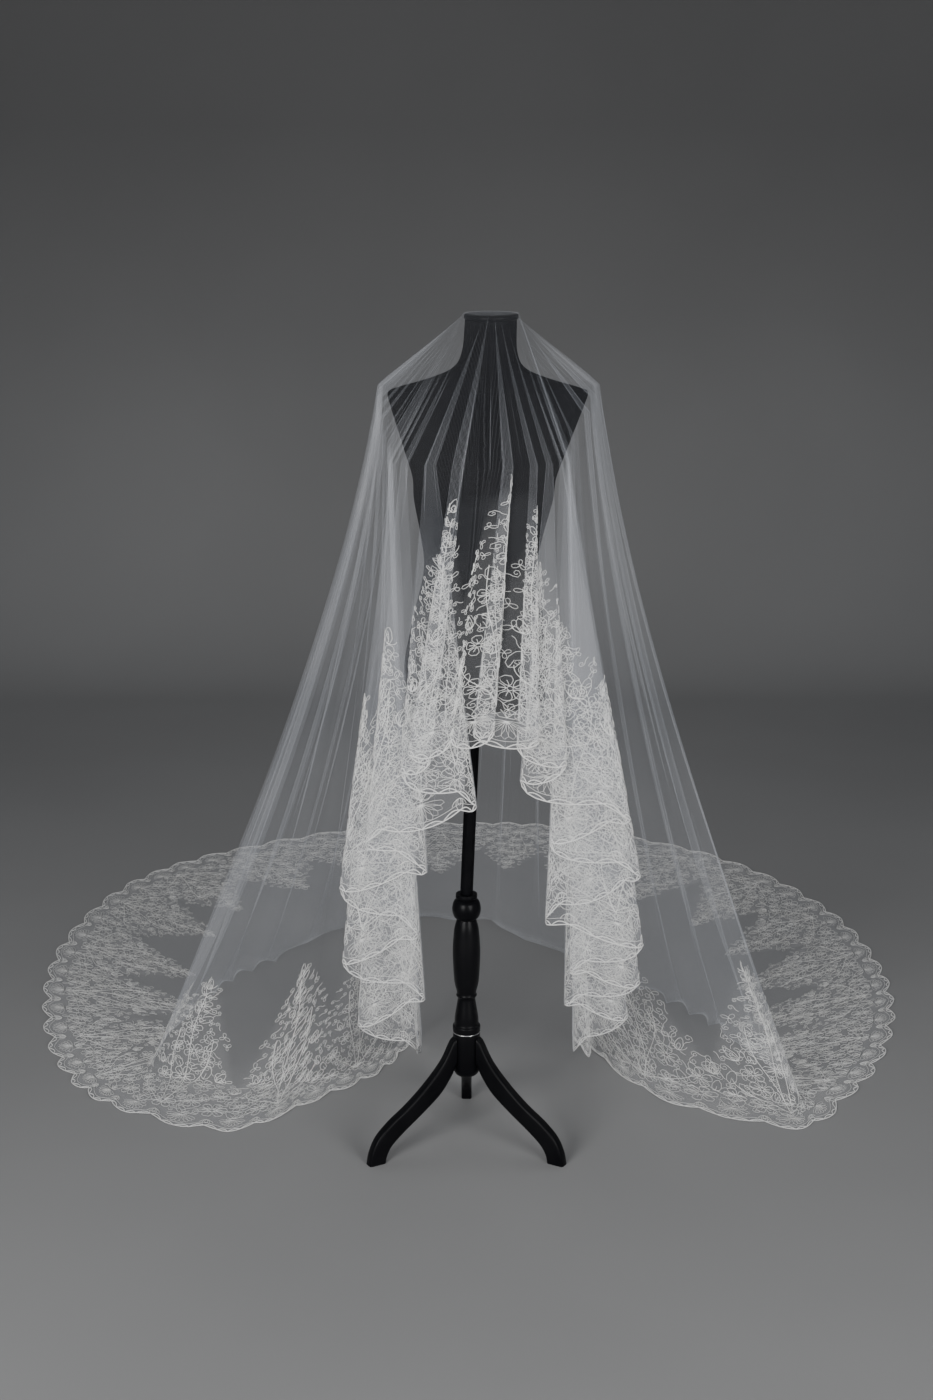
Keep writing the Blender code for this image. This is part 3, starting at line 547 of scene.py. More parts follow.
patch_group, given, result = new_group(
    "soft_patches", (("Place", "Vector"), ("Scale", "Float")), (("Patch", "Float"),))
clouds = add_node(patch_group, "TexNoise")
clouds.inputs["Detail"].default_value = 3.0
feed(patch_group, clouds.inputs["Vector"], given.outputs["Place"])
feed(patch_group, clouds.inputs["Scale"], given.outputs["Scale"])
feed(patch_group, result.inputs["Patch"],
     spread(patch_group, clouds.outputs["Fac"], 0.3, 0.7, 0.0, 1.0))

twist_group, given, result = new_group(
    "cord_twist", (("Along", "Vector"), ("Scale", "Float"), ("Strength", "Float")),
    (("Normal", "Vector"), ("Twist", "Float")))
turns = add_node(twist_group, "TexWave", wave_type="BANDS", bands_direction="DIAGONAL")
turns.inputs["Distortion"].default_value = 1.5
feed(twist_group, turns.inputs["Vector"], given.outputs["Along"])
feed(twist_group, turns.inputs["Scale"], given.outputs["Scale"])
bump = add_node(twist_group, "Bump")
bump.inputs["Distance"].default_value = 0.0003
feed(twist_group, bump.inputs["Strength"], given.outputs["Strength"])
feed(twist_group, bump.inputs["Height"], turns.outputs["Fac"])
feed(twist_group, result.inputs["Normal"], bump.outputs["Normal"])
feed(twist_group, result.inputs["Twist"], turns.outputs["Fac"])
print("node groups:", [g.name for g in bpy.data.node_groups])

# %% [markdown]
# A net covers more of the view where it is seen at a slant, because the light crosses
# more threads: coverage = 1 - (1 - a)^(1 / cos). That is why the folds show bright edges.

# %% title Sheer cloth


def sheer_cloth(name, colour_a, colour_b, open_cover, thread_cover, net_scale, fade=None):
    """Net cloth whose coverage grows at a slant; fade names a point attribute to follow."""
    material, tree, shader = new_material(name)
    flat = add_node(tree, "UVMap", uv_map="UVMap")
    place = add_node(tree, "TexCoord")
    net = use_group(tree, net_group, Flat=flat.outputs["UV"], Scale=net_scale)
    patch = use_group(tree, patch_group, Place=place.outputs["Object"], Scale=5.0)
    cover = spread(tree, net.outputs["Thread"], 0.0, 1.0, open_cover, thread_cover)
    cover = sums(tree, "MULTIPLY", cover, spread(tree, patch.outputs["Patch"], 0, 1, 0.85, 1.15))
    if fade:
        share = add_node(tree, "Attribute", attribute_name=fade)
        cover = sums(tree, "MULTIPLY", cover, share.outputs["Fac"])
    slant = add_node(tree, "LayerWeight")
    slant.inputs["Blend"].default_value = 0.5
    cosine = sums(tree, "MAXIMUM", sums(tree, "SUBTRACT", 1.0, slant.outputs["Facing"]), 0.07)
    clear = sums(tree, "POWER", sums(tree, "SUBTRACT", 1.0, cover),
                 sums(tree, "DIVIDE", 1.0, cosine))
    feed(tree, shader.inputs["Alpha"], sums(tree, "SUBTRACT", 1.0, clear))
    feed(tree, shader.inputs["Base Color"],
         blend(tree, patch.outputs["Patch"], colour_a, colour_b))
    shader.inputs["Roughness"].default_value = 0.65
    shader.inputs["Specular IOR Level"].default_value = 0.2
    shader.inputs["Sheen Weight"].default_value = 0.25
    return material


tulle = sheer_cloth("tulle_net", (0.78, 0.82, 0.90, 1), (0.86, 0.88, 0.93, 1),
                    0.014, 0.084, 520.0, "fullness")

# %% [markdown]
# The veil is one sheet with its scalloped edge. Rows run from the middle of the crown
# over the rim of the cap and down each run; columns run around the hem. The fine gathers
# between the modelled folds are given as an attribute: fewer in front, more on the tent.

# %% title The tulle sheet
NECK_COUNT, FALL_COUNT, BAND_COUNT = 10, 26, 44
BAND_TOP = 0.44
index = np.linspace(0, SAMPLES - 1, NECK_COUNT + 1).round().astype(int)
neck_marks = LENGTHS[:, index]
hold_mark = neck_marks[:, -1:]
band_mark = np.maximum(LENGTH[:, None] - BAND_TOP, hold_mark + 0.02)
hem_mark = LENGTH[:, None] - scallop_edge(AT)[:, None]
fall_marks = hold_mark + (band_mark - hold_mark) * np.linspace(0, 1, FALL_COUNT + 1)[1:]
band_marks = band_mark + (hem_mark - band_mark) * np.linspace(0, 1, BAND_COUNT + 1)[1:]
marks = np.concatenate([neck_marks, fall_marks, band_marks], axis=1)
hung_points, hung_flat = sheet_points(marks), flat_points(marks)
crown_middle = np.array([lean_x(CAP_TOP), 0.0, DRAPE_TOP])
inner = np.array([0.02, 0.5, 0.9])[None, :, None]
crown_points = crown_middle + (hung_points[:, :1] - crown_middle) * inner
crown_flat = hung_flat[:, :1] * inner
points = np.concatenate([crown_points, hung_points], axis=1)
flat = np.concatenate([crown_flat, hung_flat], axis=1)
veil = add_grid("veil_tulle", points, flat)
along = np.clip((marks - hold_mark) / (band_mark - hold_mark), -1, 1)
front = 1 - run_values(AT)[:, 11:12]
high = np.clip(1 - 4 * along, 0, 1)
thin = 0.35 * np.clip(front + 0.8 * high, 0, 1) * np.clip(2.5 - 2.5 * along, 0, 1)
fullness = veil.data.attributes.new("fullness", "FLOAT", "POINT")
amount = np.concatenate([np.repeat(1 - thin[:, :1], 3, axis=1), 1 - thin], axis=1)
fullness.data.foreach_set("value", amount.astype(np.float32).ravel())
veil.data.materials.append(tulle)
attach(veil, "root")
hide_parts(*[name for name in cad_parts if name.startswith("tulle_")])
print("tulle sheet:", 2 * len(veil.data.polygons), "triangles")

# %% [markdown]
# The flat cut shares the sheet's coordinates: its outline is the hem in flat coordinates.

# %% [markdown]
# The lace lies on the sheet near the hem. A regular grid of that band, one step per
# centimetre, is read for places, for outward directions and for the width of a scallop.

# %% title The band of the sheet near the hem
LIFT = 0.0008


def sheet_normals(points):
    """Outward directions of a grid on the sheet: the way down crossed with the way round."""
    down = -np.gradient(points, axis=1)
    around = np.roll(points, -1, axis=0) - np.roll(points, 1, axis=0)
    normal = np.cross(down, around)
    return normal / (np.linalg.norm(normal, axis=-1, keepdims=True) + 1e-12)


V_STEP = 0.01
v_marks = np.arange(0, 0.57, V_STEP)
BAND_GRID = sheet_points(LENGTH[:, None] - v_marks)
BAND_NORMALS = sheet_normals(BAND_GRID)
print("lace band grid:", BAND_GRID.shape)


def read_grid(grid, s, v):
    """Value of a grid at s scallops and v metres from the hem, blended from four corners."""
    a = (s % WHOLE) * FINE
    b = np.clip(v / V_STEP, 0, grid.shape[1] - 1.001)
    i, j = np.floor(a).astype(int), np.floor(b).astype(int)
    f, g = (a - i)[..., None], (b - j)[..., None]
    k = (i + 1) % len(grid)
    i = i % len(grid)
    return ((1 - f) * ((1 - g) * grid[i, j] + g * grid[i, j + 1])
            + f * ((1 - g) * grid[k, j] + g * grid[k, j + 1]))


def on_band(s, v, lift):
    """Points of the lace band, lifted off the tulle, and the outward directions there."""
    point, normal = read_grid(BAND_GRID, s, v), read_grid(BAND_NORMALS, s, v)
    normal = normal / (np.linalg.norm(normal, axis=-1, keepdims=True) + 1e-9)
    point = point + normal * lift
    point[..., 2] = np.maximum(point[..., 2], FLOOR_LEVEL + lift)
    return point, normal


ROUND = np.linalg.norm(np.roll(BAND_GRID, -1, axis=0) - BAND_GRID, axis=-1)
WIDTHS = sum(np.roll(ROUND, k, axis=0) for k in range(-FINE // 2, FINE // 2))
WIDTHS = np.clip(WIDTHS, 0.045, 0.140)[..., None]
print("width of a scallop at the hem: %.3f to %.3f m" % (WIDTHS[:, 0].min(), WIDTHS[:, 0].max()))

# %% [markdown]
# The lace border is laid on the tulle all round the hem. Its inner edge rises in flame-like
# peaks, one for every two and a half scallops, so peaks and scallops drift past each other.

# %% title Height of the lace border
PEAK_STEP, PEAK_PLACE = 2.5, 1.0
PEAK_TOP, PEAK_FOOT = 0.440, 0.195
USUAL_WIDTH, FRONT_RISE, CORNER_RISE = 0.085, 0.17, 0.18
peaks = np.arange(int(WHOLE / PEAK_STEP))


def jitter(s, seed):
    """Even spread of numbers from -1 to 1 that looks random: the fraction of a big sine."""
    return 2 * ((np.sin(np.asarray(s) * 12.9898 + seed * 78.233) * 43758.5453) % 1) - 1


from_front = np.abs((peaks * PEAK_STEP + PEAK_PLACE + WHOLE / 2) % WHOLE - WHOLE / 2)
TOP_SHARE = 0.95 + 0.05 * jitter(peaks, 11) + FRONT_RISE * np.exp(-((from_front / 7) ** 2))
TOP_SHARE = TOP_SHARE + CORNER_RISE * np.exp(-(((from_front - 27) / 4) ** 2))
TOP_LEAN = 0.35 * jitter(peaks, 12)
narrow = np.clip(WIDTHS[:, 30, 0] / USUAL_WIDTH, 0.60, 1.0)
CLOSE = sum(np.roll(narrow, k) for k in range(-FINE, FINE + 1)) / (2 * FINE + 1)


def flame(s):
    """Reach of the lace: foot + (top - foot)(1 - (c d)^1.5), d the way from a peak.

    A peak leans to one side, so its two sides aren't equally wide. Where the sheet narrows
    towards the neck, c is under one: the peaks keep their width there and close up.
    """
    number = np.floor((s - PEAK_PLACE + PEAK_STEP / 2) / PEAK_STEP).astype(int) % len(peaks)
    away = (s - PEAK_PLACE + PEAK_STEP / 2) % PEAK_STEP - PEAK_STEP / 2 - TOP_LEAN[number]
    side = PEAK_STEP / 2 + np.where(away > 0, -1, 1) * TOP_LEAN[number]
    top = PEAK_TOP * TOP_SHARE[number]
    close = np.interp(s % WHOLE, AT, CLOSE, period=WHOLE)
    return PEAK_FOOT + (top - PEAK_FOOT) * (1 - np.abs(close * away / side) ** 1.5)


# %% [markdown]
# The ground of the lace is a second, slightly denser net on the tulle. It fades out at its
# inner edge, because there the maker cuts the net away close to the flowers.

# %% title The ground of the lace
GROUND_ROWS = 24
share = np.linspace(0, 1, GROUND_ROWS + 1)[None, :]
edge = scallop_edge(AT)[:, None]
ground_v = edge + (flame(AT)[:, None] - edge) * share
ground_points, _ = on_band(np.repeat(AT[:, None], GROUND_ROWS + 1, axis=1), ground_v, LIFT)
ground = add_grid("lace_ground", ground_points, flat_points(LENGTH[:, None] - ground_v))
inside = ground.data.attributes.new("inside", "FLOAT", "POINT")
solid = np.clip(6 * (1 - share), 0, 1) * np.ones_like(ground_v)
inside.data.foreach_set("value", solid.astype(np.float32).ravel())
ground.data.materials.append(sheer_cloth(
    "lace_net", (0.84, 0.85, 0.87, 1), (0.90, 0.90, 0.89, 1), 0.02, 0.10, 700.0, "inside"))
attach(ground, "root")
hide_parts(*[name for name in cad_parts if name.startswith("lace_")])
print("lace ground:", 2 * len(ground.data.polygons), "triangles")

# %% [markdown]
# Corded lace is drawn with one cord that outlines petals, leaves and curls.
# Each motif is a set of strokes in the plane, worked out from simple formulas.

# %% title Strokes of the motifs
STEPS = 9


def loop(length, width, turn, tip=0.3, x=0.0, y=0.0, count=STEPS):
    """Petal or leaf: along = L (1 - cos 2 pi t)/2, aside = W/2 sin 2 pi t (1 + tip q)."""
    t = np.linspace(0, 1, count)
    along = length * (1 - np.cos(2 * np.pi * t)) / 2
    aside = width / 2 * np.sin(2 * np.pi * t) * (1 + tip * (2 * along / length - 1))
    c, s = math.cos(turn), math.sin(turn)
    return np.stack([x + c * along - s * aside, y + s * along + c * aside], axis=1)


def arc(length, turn, bend, x=0.0, y=0.0, count=STEPS):
    """Bent stem: a line of that length that turns evenly through an angle."""
    t = np.linspace(0, 1, count)
    heading = turn + bend * (t - 0.5)
    step = length / (count - 1)
    px = x + np.concatenate([[0], np.cumsum(np.cos(heading[1:]) * step)])
    py = y + np.concatenate([[0], np.cumsum(np.sin(heading[1:]) * step)])
    return np.stack([px, py], axis=1)


def curl(size, turn, turns=1.35, count=STEPS):
    """Tendril: a spiral r = size (1 - 0.8 t) around its own eye, starting at 0."""
    t = np.linspace(0, 1, count)
    r = size * (1 - 0.8 * t)
    angle = turn + np.pi + 2 * np.pi * turns * t
    eye = size * np.array([math.cos(turn), math.sin(turn)])
    return eye + np.stack([r * np.cos(angle), r * np.sin(angle)], axis=1)


def flower(petals):
    """Flower of radius one: petals, a vein in each, and a round eye."""
    strokes = []
    for n in range(petals):
        turn = 2 * math.pi * n / petals
        x, y = 0.2 * math.cos(turn), 0.2 * math.sin(turn)
        strokes.append(loop(0.80, 4.4 / petals * 0.78, turn, 0.45, x, y))
        strokes.append(arc(0.45, turn, 0.3, x, y))
    t = np.linspace(0, 2 * np.pi, STEPS)
    strokes.append(np.stack([0.17 * np.cos(t), 0.17 * np.sin(t)], axis=1))
    return np.array(strokes)


def leaf():
    """Leaf of length one: an open loop and a short midrib that stops half way."""
    return np.array([loop(1.0, 0.52, 0.0, -0.15), arc(0.45, 0.0, 0.25)])


def bud():
    """Bud: a closed loop between two sepals that curl away."""
    return np.array([loop(1.0, 0.46, 0.0, -0.25), loop(0.55, 0.22, 0.0, 0.1),
                     arc(0.75, 0.75, -1.1), arc(0.75, -0.75, 1.1)])


def sprig():
    """Three small loops, for the room between larger motifs."""
    return np.array([loop(1.0, 0.55, 0.0), loop(0.8, 0.45, 2.1), loop(0.8, 0.45, -2.1)])


def tendril():
    """A curl on a short stem."""
    return np.array([curl(0.55, 0.6), arc(1.0, 2.8, 1.2)])


def shell_fan():
    """Loops that spread from the foot of a scallop towards its edge."""
    turns = np.linspace(-math.pi * 0.92, -math.pi * 0.08, 9)
    return np.array([loop(1.0, 0.26, turn, 0.5) for turn in turns])


SHAPES = {"flower5": flower(5), "flower6": flower(6), "leaf": leaf(), "bud": bud(),
          "sprig": sprig(), "tendril": tendril(), "fan": shell_fan()}
print("strokes in each motif:", {name: len(shape) for name, shape in SHAPES.items()})

# %% [markdown]
# A motif is placed by where its middle lies on the band, its turn and its size.
# A scallop isn't equally wide everywhere, so metres are turned into scallops on the spot.

# %% title Place a motif on the band


def place(name, s, v, turn, size):
    """Strokes of a motif at many places at once: turned, sized and laid on the band."""
    shape = SHAPES[name]
    s, v, turn, size = np.broadcast_arrays(*np.atleast_1d(s, v, turn, size))
    grow = np.clip((read_grid(WIDTHS, s, v)[..., 0] / 0.075) ** 0.6, 0.75, 1.45)
    size = size * (1 if name in ("sprig", "tendril") else grow)
    c, n = (np.cos(turn) * size)[:, None, None], (np.sin(turn) * size)[:, None, None]
    x = c * shape[None, ..., 0] - n * shape[None, ..., 1]
    y = n * shape[None, ..., 0] + c * shape[None, ..., 1]
    width = read_grid(WIDTHS, s, v)[..., 0][:, None, None]
    strokes = np.stack([s[:, None, None] + x / width, v[:, None, None] + y], axis=-1)
    return strokes.reshape(-1, shape.shape[1], 2)


# %% [markdown]
# Two short tables hold the pattern: one for every scallop and one for every peak.
# Every second peak is the mirror of the one before, as in a real repeat.

# %% title Table of the pattern
Motif = namedtuple("Motif", "name side up turn size")
SCALLOP_MOTIFS = (
    Motif("fan", 0.50, 0.052, 0, 0.026),
    Motif("leaf", 0.50, 0.058, 55, 0.030),
    Motif("leaf", 0.50, 0.058, 125, 0.030),
    Motif("flower6", 0.00, 0.088, 10, 0.024),
    Motif("bud", 0.00, 0.046, -90, 0.022),
    Motif("flower5", 0.52, 0.112, 40, 0.020),
    Motif("leaf", 0.20, 0.118, 70, 0.026),
    Motif("leaf", -0.20, 0.124, 115, 0.026),
    Motif("flower5", 0.02, 0.150, 0, 0.018),
)
PEAK_MOTIFS = (
    Motif("flower6", 0.00, 0.200, 15, 0.024),
    Motif("flower5", 0.10, 0.262, 0, 0.021),
    Motif("flower5", -0.10, 0.312, 20, 0.020),
    Motif("flower5", 0.02, 0.366, 40, 0.018),
    Motif("leaf", -0.10, 0.222, 140, 0.032),
    Motif("leaf", 0.14, 0.222, 40, 0.032),
    Motif("leaf", -0.04, 0.272, 135, 0.032),
    Motif("leaf", 0.04, 0.326, 40, 0.028),
    Motif("leaf", -0.06, 0.346, 130, 0.026),
    Motif("leaf", 0.04, 0.386, 60, 0.026),
    Motif("leaf", -0.03, 0.386, 118, 0.026),
    Motif("bud", 0.02, 0.402, 88, 0.030),
    Motif("tendril", 0.24, 0.352, 20, 0.015),
    Motif("tendril", -0.26, 0.330, 160, 0.015),
    Motif("flower5", -0.55, 0.190, 30, 0.020),
    Motif("flower5", 0.56, 0.188, 70, 0.020),
    Motif("leaf", -0.44, 0.214, 105, 0.030),
    Motif("leaf", 0.48, 0.210, 75, 0.030),
    Motif("flower5", -0.42, 0.262, 10, 0.018),
    Motif("flower5", 0.46, 0.252, 50, 0.018),
    Motif("leaf", -0.38, 0.282, 105, 0.030),
    Motif("leaf", 0.42, 0.272, 70, 0.030),
    Motif("bud", -0.74, 0.215, 112, 0.028),
    Motif("bud", 0.78, 0.212, 66, 0.028),
    Motif("leaf", -1.05, 0.150, 65, 0.030),
    Motif("leaf", 1.02, 0.150, 115, 0.030),
    Motif("bud", 1.25, 0.168, 90, 0.026),
)
scallops = np.arange(int(WHOLE))
mirror = np.where(peaks % 2, -1.0, 1.0)
placed = []
for motif in SCALLOP_MOTIFS:
    lean = 0.12 * jitter(scallops, motif.up)
    placed.append((motif.name, scallops + motif.side, motif.up + 0 * lean,
                   math.radians(motif.turn) + lean, motif.size * (1 + 0.4 * lean)))
for motif in PEAK_MOTIFS:
    lean = 0.15 * jitter(peaks, motif.up + motif.side)
    turn = math.radians(motif.turn)
    high = max(motif.up - PEAK_FOOT, 0) / (PEAK_TOP - PEAK_FOOT)
    up = min(motif.up, PEAK_FOOT) + high * (PEAK_TOP * TOP_SHARE - PEAK_FOOT)
    placed.append((motif.name,
                   PEAK_PLACE + PEAK_STEP * peaks + motif.side * mirror + TOP_LEAN * high,
                   up * (1 + 0.05 * lean), np.where(mirror > 0, turn, np.pi - turn) + lean,
                   motif.size * (1 + 0.5 * lean)))
print("motifs from the tables:", sum(len(row[1]) for row in placed))

# %% [markdown]
# Small sprigs and tendrils fill the room that the flowers leave, on a staggered lattice.
# A place is skipped where it would lie on a flower or above the edge of the lace. The small
# motifs grow with the width of the scallop, so they fill the border evenly.

# %% title Fill the ground with small motifs
row_up = np.arange(0.066, 0.47, 0.022)
columns_round = np.arange(0, WHOLE, 0.29)
fill_s = (columns_round[:, None] + 0.145 * (np.arange(len(row_up)) % 2)).ravel()
fill_v = np.broadcast_to(row_up, (len(columns_round), len(row_up))).ravel()
fill_s = fill_s + 0.05 * jitter(fill_s + fill_v, 1)
fill_v = fill_v + 0.005 * jitter(fill_s * 3 + fill_v, 2)
keep = fill_v < flame(fill_s) - 0.010
flowers = [row for row in placed if row[0].startswith("flower")]
flower_s = np.concatenate([row[1] for row in flowers]) % WHOLE
flower_v = np.concatenate([row[2] for row in flowers])
flower_r = np.concatenate([row[4] for row in flowers])
fill_width = read_grid(WIDTHS, fill_s, fill_v)[..., 0]
gap = (fill_s[:, None] - flower_s + WHOLE / 2) % WHOLE - WHOLE / 2
gap = np.hypot(gap * fill_width[:, None], fill_v[:, None] - flower_v) / flower_r
keep &= gap.min(axis=1) > 1.10
keep &= (fill_width > 0.065) | (fill_v > 0.22) | (jitter(fill_s * 11 + fill_v * 17, 6) > 0)
fill_s, fill_v, fill_width = fill_s[keep], fill_v[keep], fill_width[keep]
kind = jitter(fill_s * 7 + fill_v * 31, 3) > 0.1
for name, chosen in (("sprig", kind), ("tendril", ~kind)):
    s, v = fill_s[chosen], fill_v[chosen]
    small = np.clip(0.15 * fill_width[chosen], 0.009, 0.020)
    placed.append((name, s, v, np.pi * jitter(s + 5 * v, 4), small * (1 + 0.2 * jitter(s, 5))))
print("small motifs:", len(fill_s))

# %% [markdown]
# Longer cords run round the hem and up into the peaks.
# They are given straight in scallops and metres, so they follow the edge exactly.

# %% title Hem cords and stems


def hem_cords():
    """Edge cord, a row of picots and an inner arc in every scallop."""
    t = np.linspace(0, 1, 25)
    s = scallops[:, None] + t
    rise = scallop_edge(s)
    picots = rise + 0.0020 + 0.0085 * np.abs(np.sin(4 * np.pi * t))
    arcs = rise * 0.6 + 0.019 + 0.004 * np.cos(2 * np.pi * t)
    return [np.stack([s, rows], axis=-1) for rows in (rise + 0.0022, picots, arcs)]


def peak_stems():
    """Stems that sway from the flower row up into each peak: s = s0 + a t + b sin(2 pi t)."""
    t = np.linspace(0, 1, 25)
    stems = []
    for reach, top, sway in ((0.03, 0.390, 0.10), (-0.50, 0.290, 0.08), (0.50, 0.280, -0.08),
                             (-0.95, 0.150, 0.10), (0.95, 0.150, -0.10)):
        side = (reach * t**0.7 + sway * np.sin(2 * np.pi * t)) * mirror[:, None]
        lean = TOP_LEAN[:, None] * max(top - PEAK_FOOT, 0) / (PEAK_TOP - PEAK_FOOT) * t**2
        s = PEAK_PLACE + PEAK_STEP * peaks[:, None] + side + lean
        stems.append(np.stack([s, 0.075 + (top * TOP_SHARE[:, None] - 0.075) * t], axis=-1))
    return stems


# %% [markdown]
# A cord is a ribbon with a ridge: three points across, two strips of faces along.
# Seen from any side it catches light like a round cord, for a third of its faces.

# %% title Cords from strokes


def ribbons(strokes, half_width, lift):
    """Points, faces and UV of ridged ribbons: p + n lift +- b w, and p + n (lift + w)."""
    point, normal = on_band(strokes[..., 0], strokes[..., 1], 0.0)
    along = np.gradient(point, axis=1)
    side = np.cross(normal, along)
    side = side / (np.linalg.norm(side, axis=-1, keepdims=True) + 1e-9) * half_width
    foot = point + normal * lift
    ridge = foot + normal * half_width * 1.1
    rows = np.stack([foot - side, ridge, foot + side], axis=2)
    rows[..., 2] = np.maximum(rows[..., 2], FLOOR_LEVEL + 0.0006)
    amount, count = strokes.shape[:2]
    start = (np.arange(amount) * count * 3)[:, None, None]
    cell = (np.arange(count - 1) * 3)[None, :, None] + np.arange(2)[None, None, :]
    a = start + cell
    faces = np.stack([a, a + 1, a + 4, a + 3], axis=-1).reshape(-1, 4)
    step = np.linalg.norm(np.diff(point, axis=1), axis=-1)
    run = np.concatenate([np.zeros((amount, 1)), np.cumsum(step, axis=1)], axis=1)
    across = np.array([0.0, 0.5, 1.0]) * 2 * half_width
    uv = np.stack([np.repeat(run[..., None], 3, axis=-1),
                   np.broadcast_to(across, (amount, count, 3))], axis=-1)
    return rows.reshape(-1, 3), faces, uv.reshape(-1, 2)


def join_parts(parts):
    """Several sets of points, faces and UV as one."""
    counts = np.cumsum([0] + [len(points) for points, _, _ in parts])
    return (np.concatenate([p for p, _, _ in parts]),
            np.concatenate([f + n for (_, f, _), n in zip(parts, counts)]),
            np.concatenate([u for _, _, u in parts]))


HALF_WIDTHS = {"flower5": 0.00050, "flower6": 0.00052, "leaf": 0.00046, "bud": 0.00050,
               "sprig": 0.00036, "tendril": 0.00040, "fan": 0.00032}
LIFTS = {"flower5": 0.0018, "flower6": 0.0019, "leaf": 0.0014, "bud": 0.0016,
         "sprig": 0.0010, "tendril": 0.0010, "fan": 0.0011}
groups = [(place(*row), HALF_WIDTHS[row[0]], LIFTS[row[0]]) for row in placed]
groups += [(strokes, width, 0.0012) for strokes, width
           in zip(hem_cords(), (0.0011, 0.0010, 0.0004))]
groups += [(strokes, 0.0006, 0.0013) for strokes in peak_stems()]
for strokes, _, _ in groups:
    strokes[..., 1] = np.maximum(strokes[..., 1], scallop_edge(strokes[..., 0]) + 0.0015)
print("strokes in all:", sum(len(strokes) for strokes, _, _ in groups))

# %% [markdown]
# White cotton cord is never quite one colour: it is creamier where it was handled. Its colour is
# also painted darker in the hollows of its twist, as painted shade, and the twist turns the
# light a little along the cord.

# %% title Cord material and cord pieces
cord_material, tree, shader = new_material("ivory_cord")
flat_uv = add_node(tree, "UVMap", uv_map="UVMap")
place_of = add_node(tree, "TexCoord")
twist = use_group(tree, twist_group, Along=flat_uv.outputs["UV"], Scale=160.0,
                  Strength=0.3)
patch = use_group(tree, patch_group, Place=place_of.outputs["Object"], Scale=9.0)
cream = blend(tree, patch.outputs["Patch"], (0.86, 0.85, 0.82, 1), (0.93, 0.93, 0.92, 1))
# painted shade: the twist bands darken the cord's colour in the hollows of its twist
shade = blend(tree, twist.outputs["Twist"], (0.78, 0.77, 0.74, 1), (0.95, 0.95, 0.94, 1))
feed(tree, shader.inputs["Base Color"], blend(tree, 0.35, cream, shade))
feed(tree, shader.inputs["Normal"], twist.outputs["Normal"])
shader.inputs["Roughness"].default_value = 0.6
shader.inputs["Specular IOR Level"].default_value = 0.3
shader.inputs["Sheen Weight"].default_value = 0.2

CORD_PIECES = (("lace_cords_right_front", 0.0, 18.0), ("lace_cords_right_side", 18.0, 36.0),
               ("lace_cords_right_train", 36.0, 53.0), ("lace_cords_left_train", 53.0, 70.0),
               ("lace_cords_left_side", 70.0, 88.0), ("lace_cords_left_front", 88.0, 105.0))
for name, first, last in CORD_PIECES:
    parts = []
    for strokes, width, lift in groups:
        middle = strokes[..., 0].mean(axis=1) % WHOLE
        chosen = strokes[(middle >= first) & (middle < last)]
        if len(chosen):
            parts.append(ribbons(chosen, width, lift))
    piece = add_mesh(name, *join_parts(parts))
    piece.data.materials.append(cord_material)
    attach(piece, "root")
    print(name, 2 * len(piece.data.polygons), "triangles")

# %% [markdown]
# The form is a foam torso under black stretch jersey: smooth, limbless, a little leaning.
# Its sections are slightly squared ellipses, joined by a smooth curve from foot to neck.

# %% title Torso and neck cap
TorsoRing = namedtuple("TorsoRing", "z wide deep y square")
TORSO_RINGS = (
    TorsoRing(TORSO_FOOT, 0.126, 0.100, 0.004, 2.2),
    TorsoRing(0.905, 0.130, 0.104, 0.004, 2.2),
    TorsoRing(0.970, 0.132, 0.106, 0.006, 2.2),
    TorsoRing(1.060, 0.117, 0.092, 0.004, 2.2),
    TorsoRing(1.140, 0.103, 0.080, 0.000, 2.1),
    TorsoRing(1.200, 0.110, 0.088, -0.006, 2.2),
    TorsoRing(1.270, 0.125, 0.106, -0.012, 2.4),
    TorsoRing(1.310, 0.129, 0.104, -0.008, 2.5),
    TorsoRing(1.350, 0.143, 0.094, 0.004, 2.6),
    TorsoRing(1.400, 0.161, 0.084, 0.014, 2.7),
    TorsoRing(1.440, 0.175, 0.068, 0.016, 2.7),
    TorsoRing(1.460, 0.179, 0.054, 0.012, 2.6),
    TorsoRing(1.468, 0.165, 0.048, 0.008, 2.4),
    TorsoRing(1.486, 0.105, 0.044, 0.004, 2.2),
    TorsoRing(1.505, 0.064, 0.045, 0.002, 2.0),
    TorsoRing(1.535, 0.049, 0.046, 0.000, 2.0),
    TorsoRing(CAP_TOP - CAP_THICK - SEAM, 0.046, 0.046, 0.000, 2.0),
)


